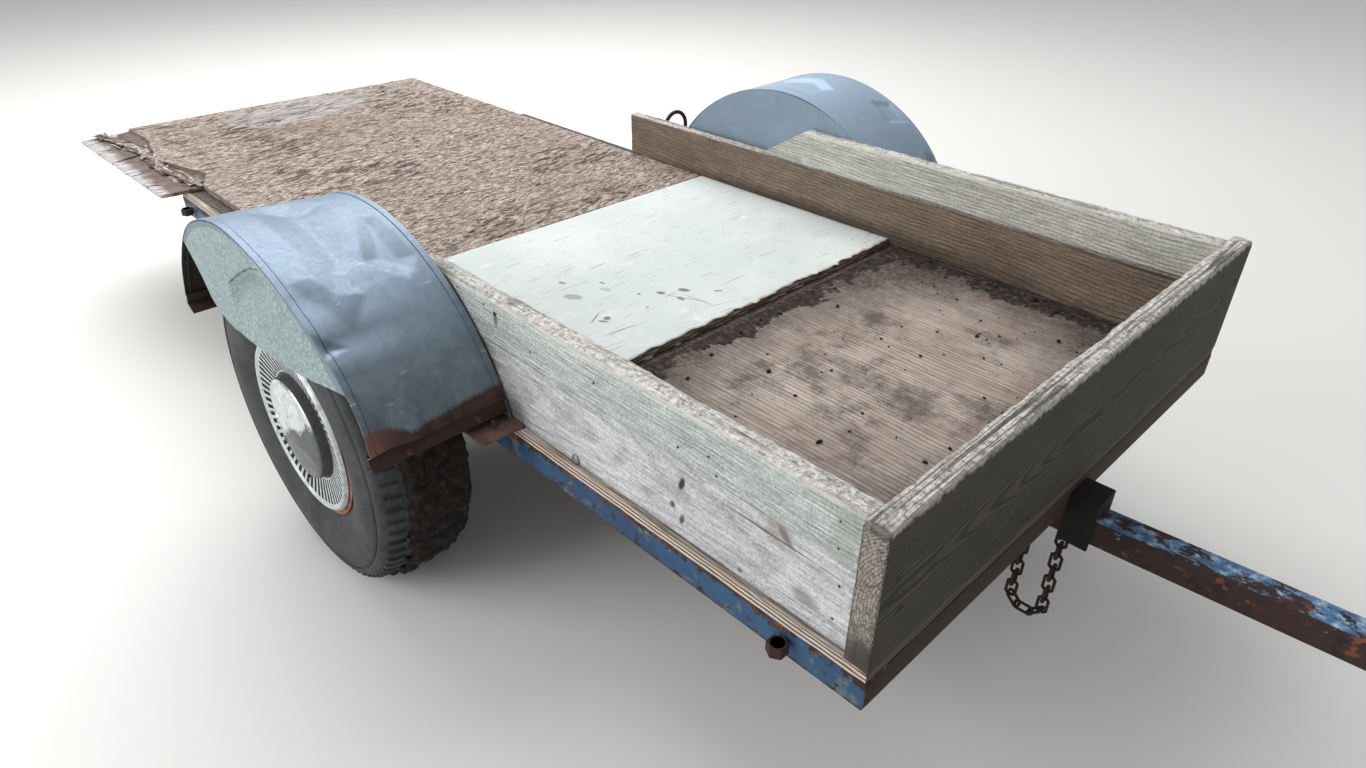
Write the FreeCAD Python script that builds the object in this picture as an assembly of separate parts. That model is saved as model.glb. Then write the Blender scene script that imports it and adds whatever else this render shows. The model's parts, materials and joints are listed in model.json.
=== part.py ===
import FreeCAD, Part
import math
import os

# Farm utility trailer, home-made: plywood bed on an angle-iron frame, one axle, a square tongue.
# Frame of the part: origin on the ground under the middle of its box, +X forward to the
# coupler, +Y to the trailer's left, +Z up. Millimetres.

# Bed
bed_width = 1220.0
bed_length = 2440.0
floor_top = 460.0
floor_thickness = 19.0

# Angle-iron frame under the floor
rail_leg = 50.0
rail_wall = 5.0
cross_leg = 40.0
cross_wall = 4.0
cross_places = (600.0, 1040.0, 1400.0, 1930.0)

# Second layer of plywood on the floor: a weathered sheet that overhangs the rear, and a
# painted panel in front of it
layer_thickness = 19.0
layer_side_gap = 4.0
sheet_front = 1450.0
sheet_overhang = 710.0
sheet_far_edge = 556.0
sheet_near_edge = -560.0
crack_inset = 50.0
crack_bite = 45.0
crack_bite_reach = 90.0
crack_swell = 20.0
crack_swell_reach = 330.0
crack_step = 30.0
crack_step_inset = 170.0
crack_end = 20.0
flap_reach = 690.0
flap_thickness = 9.0
flap_corner = 15.0
flap_rear_inset = 20.0
flap_split = 5.0
flap_split_length = 75.0
flap_splits = (70.0, 330.0)
panel_front = 770.0
panel_joint = 5.0

# Front board and side boards
board_thickness = 38.0
front_board_height = 235.0
lower_board_height = 140.0
upper_board_height = 89.0
board_inset = 12.0
right_lower_end = 1120.0
right_upper_end = 1045.0
left_lower_end = 1770.0
left_upper_end = 1075.0
left_slant_end = 1225.0

# Axle and wheels
axle_place = 1200.0
tyre_radius = 345.0
tyre_half_width = 100.0
tyre_wall = 13.0
tread_half_width = 82.0
shoulder_drop = 13.0
shoulder_band = 20.0
shoulder_bulge = 2.5
shoulder_inset = 5.0
tyre_groove = 4.0
tyre_groove_depth = 2.5
tyre_ring = 9.0
tyre_ring_rise = 1.8
bulge_rise = 70.0
bead_radius = 178.0
bead_width = 20.0
bead_rise = 14.0
rim_flange_radius = 195.0
rim_half_width = 78.0
rim_wall = 4.0
rim_seat = 40.0
rim_slope = 14.0
well_drop = 18.0
disc_face = 10.0
disc_dish = 8.0
disc_flat_radius = 75.0
disc_rise_radius = 103.0
disc_hole_radius = 34.0
cover_radius = 186.0
cover_wall = 2.0
cover_gap = 0.3
cover_lip = 14.0
cover_lip_rise = 8.0
cover_dish = 10.0
cover_groove = 12.0
cover_dome_radius = 105.0
cover_dome_lean = 6.0
cover_dome_rise = 27.0
cover_dome_top = 118.0
flute_count = 60
flute_width = 9.0
flute_ridge = 2.5
flute_rise = 3.5
flute_margin = 4.0
valve_hole_radius = 9.5
valve_hole_place = 141.0
valve_hole_angle = 259.0
tyre_to_fender = 22.0
axle_tube_radius = 25.0
spindle_radius = 17.0
spindle_clearance = 0.05
hub_barrel_radius = 33.0
hub_flange_radius = 65.0
hub_flange = 8.0
hub_inner_reach = 62.0
hub_outer_reach = 40.0
spindle_tip = 8.0
shoulder_gap = 0.5

# Leaf springs under the axle, with their hangers, shackles and clamps
spring_side = 568.0
spring_width = 45.0
leaf_thickness = 7.0
leaf_radius = 900.0
leaf_count = 3
main_leaf_reach = 300.0
leaf_step = 75.0
eye_radius = 13.0
bolt_radius = 7.0
bolt_gap = 0.3
seat_height = 6.0
seat_half_length = 30.0
hanger_length = 50.0
hanger_wall = 6.0
hanger_gap = 0.5
hanger_margin = 4.0
shackle_wall = 5.0
shackle_gap = 1.0
shackle_width = 26.0
shackle_lean = 14.0
hanger_bolt_drop = 22.0
u_bolt_radius = 5.0
u_bolt_gap = 1.0
u_bolt_tail = 14.0
clamp_plate = 8.0
clamp_margin = 3.0
clamp_half_length = 48.0

# Fenders
fender_clearance = 73.0
fender_wall = 2.0
fender_drop = 32.0
fender_gap = 5.0
fender_width = 264.0
hem_width = 12.0
hem_rise = 1.2
skirt_front_x = 352.0
skirt_rear_x = -283.0
skirt_low_x = -92.0
skirt_low_height = 194.0
skirt_slant_x = -206.0
skirt_slant_height = 224.0
skirt_bend_x = -165.0
skirt_bend_height = 200.0
skirt_sag = 10.0
bracket_leg = 32.0
bracket_wall = 4.0
bracket_tuck = 8.0
bracket_gap = 0.1
strap_thickness = 6.0
strap_reach = 76.0
strap_ahead = 38.0
strap_behind = 34.0
strap_tuck = 50.0
marker_radius = 13.0
marker_thickness = 10.0
marker_inset = 45.0
marker_rise = 18.0

# Tongue and what it carries
tongue_side = 50.0
tongue_wall = 4.0
tongue_rise = 3.0
tongue_rear = 650.0
tongue_bracket_length = 50.0
tongue_bracket_wall = 7.0
tongue_bracket_top = 38.0
tongue_bracket_drop = 10.0
rear_cheek_length = 70.0
rear_cheek_wall = 6.0
rear_cheek_drop = 40.0
rear_cheek_top_gap = 8.0
ball_radius = 25.4
ball_gap = 0.6
coupler_wall = 4.0
coupler_reach = 1120.0
coupler_nose = 80.0
coupler_sleeve = 130.0
coupler_lift = 4.0
coupler_roof = 10.0
latch_length = 120.0
latch_width = 26.0
latch_thickness = 6.0
latch_post = 18.0
latch_post_length = 34.0
latch_inset = 40.0
latch_tail = 14.0

# Swivel jack on the tongue's left side
jack_place = 720.0
jack_tube_radius = 28.0
jack_leg_gap = 0.3
jack_tube_wall = 3.0
jack_leg_overlap = 190.0
jack_tube_bottom = 170.0
jack_tube_top = 580.0
jack_cap = 6.0
jack_web_half_width = 20.0
jack_web_half_height = 40.0
jack_plate = 8.0
jack_plate_radius = 48.0
jack_mount_length = 110.0
jack_boss = 10.0
jack_boss_radius = 30.0
jack_pin_radius = 12.0
jack_pin_clearance = 0.05
jack_face_gap = 0.5
jack_foot_radius = 48.0
jack_foot_thickness = 6.0
crank_reach = 110.0
crank_radius = 7.0
crank_knob = 70.0
crank_knob_radius = 11.0
crank_head = 22.0
crank_head_radius = 13.0

# Tie-down nuts, rope loop and safety chain
nut_flats = 45.0
nut_hole_radius = 12.5
nut_height = 38.0
nut_front_inset = 130.0
nut_rear_inset = 75.0
loop_rod_radius = 6.0
loop_place = 1670.0
loop_half_width = 44.0
loop_top = 152.0
loop_foot_rise = 10.0
loop_tail = 70.0
link_rod_radius = 3.0
link_inner_length = 27.0
link_inner_width = 12.5
link_corner = 4.0
link_bend_slack = 0.4
link_facets = 6
chain_gap = 0.3
chain_drop_links = 7
chain_place = 62.0
staple_drop = 20.0
staple_half = 14.0

# How far a cutting shape runs past what it cuts
overshoot = 1.0

# Places worked out from the sizes above
bed_front = (bed_length + sheet_overhang + coupler_reach) / 2 - coupler_reach
bed_rear = bed_front - bed_length
bed_side = bed_width / 2
floor_bottom = floor_top - floor_thickness
rail_bottom = floor_bottom - rail_leg
axle_x = bed_front - axle_place
axle_z = tyre_radius
leaf_reaches = [main_leaf_reach - index * leaf_step for index in range(leaf_count)]
nut_places = (nut_front_inset, bed_length - nut_rear_inset)
tongue_front = coupler_reach - coupler_nose
fender_inner = bed_side - board_inset + fender_gap
fender_outer = fender_inner + fender_width
wheel_y = fender_outer - tyre_to_fender - tyre_half_width
leaf_top = axle_z - axle_tube_radius - seat_height
fender_base = floor_top + strap_thickness
fender_radius = tyre_radius + fender_drop + fender_clearance
fender_x = axle_x
fender_z = axle_z - fender_drop
fender_inside = fender_radius - fender_wall
ball_centre = -(ball_radius + ball_gap)
jack_x = bed_front + jack_place
jack_z = rail_bottom + (jack_place * math.sin(math.radians(tongue_rise))
                        - tongue_side / 2) / math.cos(math.radians(tongue_rise))

# The bracket's upright leg lies along the band's tangent, and its foot comes down on the strap
bracket_round = fender_inside - bracket_gap
bracket_seat = bracket_leg - bracket_tuck / 2
bracket_tilt = (math.asin((fender_base - fender_z) / math.hypot(bracket_round - bracket_leg, bracket_seat))
                + math.atan2(bracket_seat, bracket_round - bracket_leg))
bracket_heel_x = bracket_round * math.cos(bracket_tilt) + bracket_seat * math.sin(bracket_tilt)
bracket_heel_z = bracket_round * math.sin(bracket_tilt) - bracket_seat * math.cos(bracket_tilt)
fender_end_angle = bracket_tilt - bracket_tuck / 2 / fender_inside

X_AXIS = FreeCAD.Vector(1, 0, 0)
Y_AXIS = FreeCAD.Vector(0, 1, 0)
Z_AXIS = FreeCAD.Vector(0, 0, 1)


def point(x, y, z):
    return FreeCAD.Vector(x, y, z)


def box(x0, x1, y0, y1, z0, z1):
    """A block between two opposite corners, given in any order."""
    low = point(min(x0, x1), min(y0, y1), min(z0, z1))
    return Part.makeBox(abs(x1 - x0), abs(y1 - y0), abs(z1 - z0), low)


def rod(start, end, radius):
    """A round bar between two points."""
    along = end - start
    return Part.makeCylinder(radius, along.Length, start, along)


def prism(outline, y0, y1):
    """An outline of (x, z) points, pushed along Y."""
    points = [point(x, y0, z) for x, z in outline]
    face = Part.Face(Part.makePolygon(points + points[:1]))
    return face.extrude(point(0, y1 - y0, 0))


def plate(outline, z0, z1):
    """An outline of (x, y) points, pushed along Z."""
    points = [point(x, y, z0) for x, y in outline]
    face = Part.Face(Part.makePolygon(points + points[:1]))
    return face.extrude(point(0, 0, z1 - z0))


def turned(edges, centre=None):
    """A closed profile in the XY plane (x is the radius, y the side), turned about Y."""
    solid = Part.Face(Part.Wire(edges)).revolve(point(0, 0, 0), Y_AXIS, 360)
    if centre is not None:
        solid.translate(centre)
    return solid


def lines(points):
    """Straight edges through (radius, side) points, in order."""
    spots = [point(x, y, 0) for x, y in points]
    return [Part.LineSegment(a, b).toShape() for a, b in zip(spots, spots[1:])]


def arc(a, b, c):
    """An arc through three (radius, side) points."""
    return Part.Arc(point(a[0], a[1], 0), point(b[0], b[1], 0), point(c[0], c[1], 0)).toShape()


def fused(shapes):
    whole = shapes[0]
    for shape in shapes[1:]:
        whole = whole.fuse(shape)
    return whole.removeSplitter()


def both_sides(shape):
    """The shape and its mirror image across the trailer's middle plane."""
    return shape, shape.mirror(point(0, 0, 0), Y_AXIS)


def on_tongue(shape):
    """Places a piece built level, with x from the bed's front and z from the tongue's top."""
    placed = shape.copy()
    placed.rotate(point(0, 0, 0), Y_AXIS, -tongue_rise)
    placed.translate(point(bed_front, 0, rail_bottom))
    return placed


def save(name, shape):
    solids = shape if isinstance(shape, list) else [shape]
    kept = [solid for item in solids for solid in item.Solids]
    whole = kept[0] if len(kept) == 1 else Part.makeCompound(kept)
    whole.exportStep("parts/" + name + ".step")
    print(name, len(kept), "solid(s)", [round(value) for value in (
        whole.BoundBox.XMin, whole.BoundBox.XMax, whole.BoundBox.YMin,
        whole.BoundBox.YMax, whole.BoundBox.ZMin, whole.BoundBox.ZMax)])


# Frame: angle irons with one leg flat under the floor and one leg down

def side_rail():
    upright = box(bed_rear, bed_front, bed_side - rail_wall, bed_side, rail_bottom, floor_bottom)
    ledge = box(bed_rear, bed_front, bed_side - rail_leg, bed_side,
                floor_bottom - rail_wall, floor_bottom)
    return fused([upright, ledge])


def crosswise_angle(face_x, inward, leg, wall, side_rails):
    """An angle across the bed whose upright face is at face_x and whose ledge points inward."""
    reach = bed_side - rail_wall
    upright = box(face_x, face_x + inward * wall, -reach, reach, floor_bottom - leg, floor_bottom)
    ledge = box(face_x, face_x + inward * leg, -reach, reach, floor_bottom - wall, floor_bottom)
    angle = fused([upright, ledge])
    for rail in side_rails:
        angle = angle.cut(rail)
    return angle


def frame_pieces():
    left, right = both_sides(side_rail())
    rails = (left, right)
    front = crosswise_angle(bed_front, -1, rail_leg, rail_wall, rails)
    rear = crosswise_angle(bed_rear, 1, rail_leg, rail_wall, rails)
    crosses = [crosswise_angle(bed_front - place, -1, cross_leg, cross_wall, rails)
               for place in cross_places]
    return {"frame_rail_left": left, "frame_rail_right": right, "frame_rail_front": front,
            "frame_rail_rear": rear, "cross_members": crosses}


# Floor, second layer and boards

def floor_pieces():
    floor = box(bed_rear, bed_front, -bed_side, bed_side, floor_bottom, floor_top)
    top = floor_top + layer_thickness
    sheet_rear = bed_rear - sheet_overhang
    crack = bed_rear + crack_inset
    front = bed_front - sheet_front
    crack_line = [(crack, sheet_near_edge), (crack - crack_bite_reach, sheet_near_edge + crack_bite),
                  (crack - crack_swell_reach, sheet_near_edge - crack_swell),
                  (sheet_rear + crack_step_inset, sheet_near_edge + crack_step),
                  (sheet_rear, sheet_near_edge + crack_end)]
    sheet = plate([(sheet_rear, sheet_far_edge), (front, sheet_far_edge), (front, sheet_near_edge)]
                  + crack_line, floor_top, top)
    flap = plate([(sheet_rear + flap_rear_inset, -flap_reach),
                  (crack - flap_corner, -flap_reach + flap_corner)] + crack_line,
                 floor_top, floor_top + flap_thickness)
    for place in flap_splits:
        split = box(sheet_rear + place, sheet_rear + place + flap_split, -flap_reach - overshoot,
                    -flap_reach + flap_split_length, floor_top - overshoot, top)
        flap = flap.cut(split)
    panel_side = bed_side - board_inset - board_thickness - layer_side_gap
    panel = box(bed_front - panel_front, front + panel_joint, -panel_side, panel_side,
                floor_top, top)
    return {"floor_panel": floor, "rear_deck_sheet": sheet, "rear_deck_flap": flap,
            "floor_patch_panel": panel}


def side_board(side, rear_end, base, height, slant_end=None):
    """A plank on edge along one side; slant_end moves its rear end's lower corner back."""
    outer = side * (bed_side - board_inset)
    inner = outer - side * board_thickness
    front = bed_front - board_thickness
    low_end = rear_end if slant_end is None else slant_end
    outline = [(front, base), (front, base + height), (bed_front - rear_end, base + height),
               (bed_front - low_end, base)]
    board = prism(outline, outer, inner)
    for end in (1, -1):
        left_strap, right_strap = both_sides(fender_strap(end))
        board = board.cut(left_strap if side > 0 else right_strap)
    return board


def board_pieces():
    seam = floor_top + lower_board_height
    front = box(bed_front - board_thickness, bed_front, -bed_side, bed_side,
                floor_top, floor_top + front_board_height)
    return {
        "front_board": front,
        "side_board_right_lower": side_board(-1, right_lower_end, floor_top, lower_board_height),
        "side_board_right_upper": side_board(-1, right_upper_end, seam, upper_board_height),
        "side_board_left_lower": side_board(1, left_lower_end, floor_top, lower_board_height),
        "side_board_left_upper": side_board(1, left_upper_end, seam, upper_board_height,
                                            left_slant_end),
    }


# Fenders: a half-round band, a skirt on its outer side and a plate on its inner side

def fender_disc(radius, y0, y1):
    return Part.makeCylinder(radius, y1 - y0, point(fender_x, y0, fender_z), Y_AXIS)


def fender_ring(inside, outside, y0, y1):
    """The part of a ring about the fender's middle that stands above the band's two ends."""
    ring = fender_disc(outside, y0, y1).cut(fender_disc(inside, y0 - overshoot, y1 + overshoot))
    end_z = fender_z + fender_inside * math.sin(fender_end_angle)
    above = box(fender_x - 2 * outside, fender_x + 2 * outside, y0, y1, end_z, end_z + 2 * outside)
    return ring.common(above)


def fender_band():
    """The half-round sheet, with a hem folded flat over it along each edge."""
    band = fender_ring(fender_inside, fender_radius, fender_inner, fender_outer)
    hems = [fender_ring(fender_radius, fender_radius + hem_rise, y0, y0 + hem_width)
            for y0 in (fender_inner, fender_outer - hem_width)]
    return fused([band] + hems)


def fender_inner_plate():
    disc = fender_disc(fender_inside, fender_inner, fender_inner + fender_wall)
    above = box(fender_x - fender_radius, fender_x + fender_radius, fender_inner - overshoot,
                fender_inner + fender_wall + overshoot, fender_base, fender_z + fender_radius)
    return disc.common(above)


def fender_skirt():
    """The outer sheet: its lower edge slants down from the rear, turns, and rises to a point."""
    y0 = fender_outer - fender_wall

    def on_band(x):
        return point(fender_x + x, y0, fender_z + math.sqrt(fender_inside ** 2 - x ** 2))

    def above_axle(x, height):
        return point(fender_x + x, y0, axle_z + height)

    front, top, rear = on_band(skirt_front_x), on_band(0), on_band(skirt_rear_x)
    slant = above_axle(skirt_slant_x, skirt_slant_height)
    bend = above_axle(skirt_bend_x, skirt_bend_height)
    low = above_axle(skirt_low_x, skirt_low_height)
    rise = (low + front) / 2 - point(0, 0, skirt_sag)
    wire = Part.Wire([Part.Arc(front, top, rear).toShape(), Part.LineSegment(rear, slant).toShape(),
                      Part.Arc(slant, bend, low).toShape(), Part.Arc(low, rise, front).toShape()])
    return Part.Face(wire).extrude(point(0, fender_wall, 0))


def fender_bracket(end):
    """An angle across the fender: one leg up behind the band's end, one in under the fender."""
    leg, wall = bracket_leg, bracket_wall
    outline = [(0, 0), (0, leg), (-wall, leg), (-wall, wall), (-leg, wall), (-leg, 0)]
    angle = prism([(end * x, z) for x, z in outline], fender_inner + fender_wall, fender_outer)
    angle.rotate(point(0, 0, 0), Y_AXIS, -end * math.degrees(bracket_tilt))
    angle.translate(point(fender_x + end * bracket_heel_x, 0, fender_z + bracket_heel_z))
    return angle


def fender_strap(end):
    """A flat bar on the floor's edge, under the side board, that carries the fender's bracket."""
    heel = fender_x + end * bracket_heel_x
    return box(heel - end * strap_behind, heel + end * strap_ahead, bed_side - strap_tuck,
               bed_side + strap_reach, floor_top, fender_base)


def reflector():
    """A small round marker on the band, just above its rear end."""
    angle = math.pi - fender_end_angle - marker_rise / fender_radius
    out = point(math.cos(angle), 0, math.sin(angle))
    foot = point(fender_x, fender_outer - marker_inset, fender_z) + out * fender_radius
    return Part.makeCylinder(marker_radius, marker_thickness, foot, out)


# Wheels: built about their own centre with +y outward, then placed

def tyre():
    """A bulged sidewall with a raised ring, a groove and a plain shoulder band; no tread."""
    r0, half = bead_radius, rim_half_width
    bead = [(r0, half - bead_width - rim_wall), (r0, half - rim_wall), (r0 + bead_rise, half - rim_wall + 1)]
    crown_edge = (tyre_radius - shoulder_drop, tread_half_width)
    band = (crown_edge[0] - shoulder_band, tyre_half_width - shoulder_inset)
    slope, depth = tyre_groove / 4, band[1] - tyre_groove_depth
    groove = [(band[0] - tyre_groove, band[1]), (band[0] - tyre_groove + slope, depth),
              (band[0] - slope, depth), band]
    ring_in, ring_out = groove[0][0] - slope - tyre_ring, groove[0][0] - slope
    ring = [(ring_in, band[1] + tyre_ring_rise), (ring_in + tyre_ring_rise, band[1] + 2 * tyre_ring_rise),
            (ring_out - tyre_ring_rise, band[1] + tyre_ring_rise), (ring_out, band[1])]
    bulge = (r0 + bulge_rise, tyre_half_width)
    over = ((band[0] + crown_edge[0]) / 2 + shoulder_bulge, (band[1] + crown_edge[1]) / 2 + shoulder_bulge)
    wall_side = tyre_half_width - tyre_wall
    cavity = [bead[0], (r0 + bulge_rise, wall_side),
              (crown_edge[0] - tyre_wall - shoulder_band, wall_side),
              (tyre_radius - tyre_wall, tread_half_width - 2 * tyre_wall)]

    def flip(spots):
        return [(r, -y) for r, y in spots]

    edges = []
    for face in (list, flip):
        edges += lines(face(bead)) + [arc(*face([bead[-1], bulge, ring[0]]))]
        edges += lines(face(ring + groove)) + [arc(*face([band, over, crown_edge]))]
    edges.append(arc(crown_edge, (tyre_radius, 0), *flip([crown_edge])))
    edges += lines(flip(cavity) + cavity[::-1])
    return turned(Part.sortEdges(edges)[0])


def rim():
    r0, half, wall = bead_radius, rim_half_width, rim_wall
    well = r0 - well_drop
    slope_end = rim_seat - rim_slope
    outer = [(rim_flange_radius, half), (r0, half - wall / 2), (r0, rim_seat), (well, slope_end)]
    inner = [(well - wall, slope_end - wall / 2), (r0 - wall, rim_seat - wall / 2),
             (r0 - wall, half + wall), (rim_flange_radius, half + wall)]
    barrel = ([(r, -y) for r, y in outer] + outer[::-1] + inner[::-1]
              + [(r, -y) for r, y in inner])
    low, high = disc_face, disc_face + disc_dish
    disc = [(disc_hole_radius, low), (disc_hole_radius, low - wall), (disc_flat_radius, low - wall),
            (disc_rise_radius, high - wall), (well - 1, high - wall), (well - 1, high),
            (disc_rise_radius, high), (disc_flat_radius, low)]
    return fused([turned(lines(barrel + barrel[:1])), turned(lines(disc + disc[:1]))])


def cover_profile():
    """The cover's outer surface as (radius, side) points, from its edge in to its dome."""
    edge = rim_half_width + rim_wall + cover_gap + cover_wall
    lip_inner = cover_radius - cover_lip
    dish = edge + cover_lip_rise / 2 - cover_dish
    return [(cover_radius, edge), (cover_radius - cover_lip / 2, edge + cover_lip_rise),
            (lip_inner, edge + cover_lip_rise / 2), (cover_dome_radius + cover_groove, dish),
            (cover_dome_radius, dish), (cover_dome_radius - cover_dome_lean, dish + cover_dome_rise)]


def wheel_cover():
    """A pressed cover: rolled lip, dished ring of flutes, and a domed centre on a step."""
    outer = cover_profile()
    rim_r, rim_y = outer[-1]
    crown = cover_dome_top - rim_y
    dome_radius = (rim_r ** 2 + crown ** 2) / (2 * crown)

    def dome(reach, radius):
        return reach, cover_dome_top - dome_radius + math.sqrt(radius ** 2 - reach ** 2)

    inner_radius = dome_radius - cover_wall
    skin = [(r, y - cover_wall) for r, y in outer[:-2]]
    skin.append((outer[-2][0] - cover_wall, outer[-2][1] - cover_wall))
    skin.append(dome(rim_r - cover_wall, inner_radius))
    edges = lines(outer)
    edges.append(arc(outer[-1], dome(rim_r / 2, dome_radius), dome(0, dome_radius)))
    edges += lines([dome(0, dome_radius), dome(0, inner_radius)])
    edges.append(arc(dome(0, inner_radius), dome(rim_r / 2, inner_radius), skin[-1]))
    edges += lines(skin[::-1] + outer[:1])
    cover = turned(edges).multiFuse(cover_flutes())
    angle = math.radians(valve_hole_angle)
    hole = point(valve_hole_place * math.cos(angle), 0, valve_hole_place * math.sin(angle))
    return cover.cut(Part.makeCylinder(valve_hole_radius, cover_dome_top, hole, Y_AXIS))


def cover_flutes():
    """Raised ribs all round the dished ring, each one a long low wedge on the slope."""
    (r1, y1), (r0, y0) = cover_profile()[2:4]
    length = math.hypot(r1 - r0, y1 - y0) - 2 * flute_margin
    half, ridge = flute_width / 2, flute_ridge / 2
    rib = Part.makeWedge(0, -cover_wall / 2, -half, -ridge, flute_rise,
                         length, flute_rise, half, ridge, length - flute_rise)
    rib.rotate(point(0, 0, 0), Z_AXIS, math.degrees(math.atan2(y1 - y0, r1 - r0)))
    rib.translate(point(r0 + flute_margin, y0 + flute_margin * (y1 - y0) / (r1 - r0), 0))
    ribs = []
    for index in range(flute_count):
        turned_rib = rib.copy()
        turned_rib.rotate(point(0, 0, 0), Y_AXIS, (index + 0.5) * 360 / flute_count)
        ribs.append(turned_rib)
    return ribs


def hub():
    bore = spindle_radius + spindle_clearance
    seat = disc_face - rim_wall
    profile = [(bore, -hub_inner_reach), (hub_barrel_radius, -hub_inner_reach),
               (hub_barrel_radius, seat - hub_flange), (hub_flange_radius, seat - hub_flange),
               (hub_flange_radius, seat), (hub_barrel_radius, seat),
               (hub_barrel_radius, hub_outer_reach), (bore, hub_outer_reach)]
    return turned(lines(profile + profile[:1]))


def wheel_pieces():
    pieces = {}
    makers = {"tyre": tyre, "rim": rim, "wheel_cover": wheel_cover, "hub": hub}
    for name, maker in makers.items():
        left = maker()
        left.translate(point(axle_x, wheel_y, axle_z))
        left, right = both_sides(left)
        pieces[name + "_left"] = left
        pieces[name + "_right"] = right
    return pieces


# Axle, springs and what holds them

def axle():
    beam_end = wheel_y - hub_inner_reach - shoulder_gap
    beam = rod(point(axle_x, -beam_end, axle_z), point(axle_x, beam_end, axle_z),
               axle_tube_radius)
    spindle_end = wheel_y + hub_outer_reach + spindle_tip
    spindle = rod(point(axle_x, -spindle_end, axle_z), point(axle_x, spindle_end, axle_z),
                  spindle_radius)
    seats = [box(axle_x - seat_half_length, axle_x + seat_half_length,
                 side * spring_side - spring_width / 2, side * spring_side + spring_width / 2,
                 leaf_top - overshoot, axle_z) for side in (-1, 1)]
    whole = fused([beam, spindle] + seats)
    for spring in both_sides(leaf_spring()):
        whole = whole.cut(spring)
    return max(whole.Solids, key=lambda solid: solid.Volume)


def leaf_spring():
    """Three leaves bent upward at their ends, under the axle, with an eye at each end."""
    centre = point(axle_x, 0, leaf_top + leaf_radius)
    y0 = spring_side - spring_width / 2
    leaves = []
    for index, reach in enumerate(leaf_reaches):
        inner = leaf_radius + index * leaf_thickness
        outer = inner + leaf_thickness
        half = math.asin(reach / inner)
        ends = [(math.sin(a) * r, -math.cos(a) * r) for a, r in
                ((-half, inner), (half, inner), (half, outer), (-half, outer))]
        spots = [centre + point(x, y0, z) for x, z in ends]
        tops = centre + point(0, y0, -inner)
        lows = centre + point(0, y0, -outer)
        wire = Part.Wire([Part.Arc(spots[0], tops, spots[1]).toShape(),
                          Part.LineSegment(spots[1], spots[2]).toShape(),
                          Part.Arc(spots[2], lows, spots[3]).toShape(),
                          Part.LineSegment(spots[3], spots[0]).toShape()])
        leaves.append(Part.Face(wire).extrude(point(0, spring_width, 0)))
    eyes = []
    bores = []
    for end in (-1, 1):
        spot = eye_point(end)
        low = point(spot.x, y0, spot.z)
        high = point(spot.x, y0 + spring_width, spot.z)
        eyes.append(rod(low, high, eye_radius))
        bores.append(rod(low, high, bolt_radius + bolt_gap))
    spring = fused(leaves + eyes)
    for bore in bores:
        spring = spring.cut(bore)
    return spring


def eye_point(end):
    """The middle of a spring eye; end is 1 at the front and -1 at the rear."""
    away = leaf_radius + leaf_thickness - eye_radius
    half = math.asin(leaf_reaches[0] / away)
    return point(axle_x + end * math.sin(half) * away, spring_side,
                 leaf_top + leaf_radius - math.cos(half) * away)


def hanger(x_mid, bolt_z, half_gap):
    """A channel under the rail's ledge with a bolt through its two ears."""
    top = floor_bottom - rail_wall
    low = bolt_z - eye_radius - hanger_margin
    half = half_gap + hanger_wall
    block = box(x_mid - hanger_length / 2, x_mid + hanger_length / 2, spring_side - half,
                spring_side + half, low, top)
    hollow = box(x_mid - hanger_length, x_mid + hanger_length, spring_side - half_gap,
                 spring_side + half_gap, low - overshoot, top - hanger_wall)
    bolt = rod(point(x_mid, spring_side - half, bolt_z), point(x_mid, spring_side + half, bolt_z),
               bolt_radius)
    return fused([block.cut(hollow), bolt])


def hangers():
    front_eye, rear_eye = eye_point(1), eye_point(-1)
    front = hanger(front_eye.x, front_eye.z, spring_width / 2 + hanger_gap)
    shackle_z = floor_bottom - rail_wall - hanger_wall - hanger_bolt_drop
    rear_gap = spring_width / 2 + shackle_gap + shackle_wall + hanger_gap
    shackle_x = rear_eye.x - shackle_lean
    rear = hanger(shackle_x, shackle_z, rear_gap)
    return front, rear, point(shackle_x, spring_side, shackle_z), rear_eye


def shackle(top, low):
    """Two links and the lower bolt, from the hanger's bolt down to the spring's rear eye."""
    links = []
    along = low - top
    turn = math.degrees(math.atan2(along.x, -along.z))
    for side in (-1, 1):
        inner = side * (spring_width / 2 + shackle_gap)
        outer = inner + side * shackle_wall
        half = shackle_width / 2
        link = box(-half, half, inner, outer, -along.Length, 0)
        link = link.fuse(Part.makeCylinder(half, shackle_wall, point(0, min(inner, outer), 0), Y_AXIS))
        link = link.fuse(Part.makeCylinder(
            half, shackle_wall, point(0, min(inner, outer), -along.Length), Y_AXIS))
        link = link.cut(rod(point(0, inner - side, 0), point(0, outer + side, 0),
                            bolt_radius + bolt_gap))
        link.rotate(point(0, 0, 0), Y_AXIS, -turn)
        link.translate(top)
        links.append(link)
    half = spring_width / 2 + shackle_gap + shackle_wall
    bolt = rod(point(low.x, low.y - half, low.z), point(low.x, low.y + half, low.z), bolt_radius)
    return fused(links + [bolt])


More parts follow.
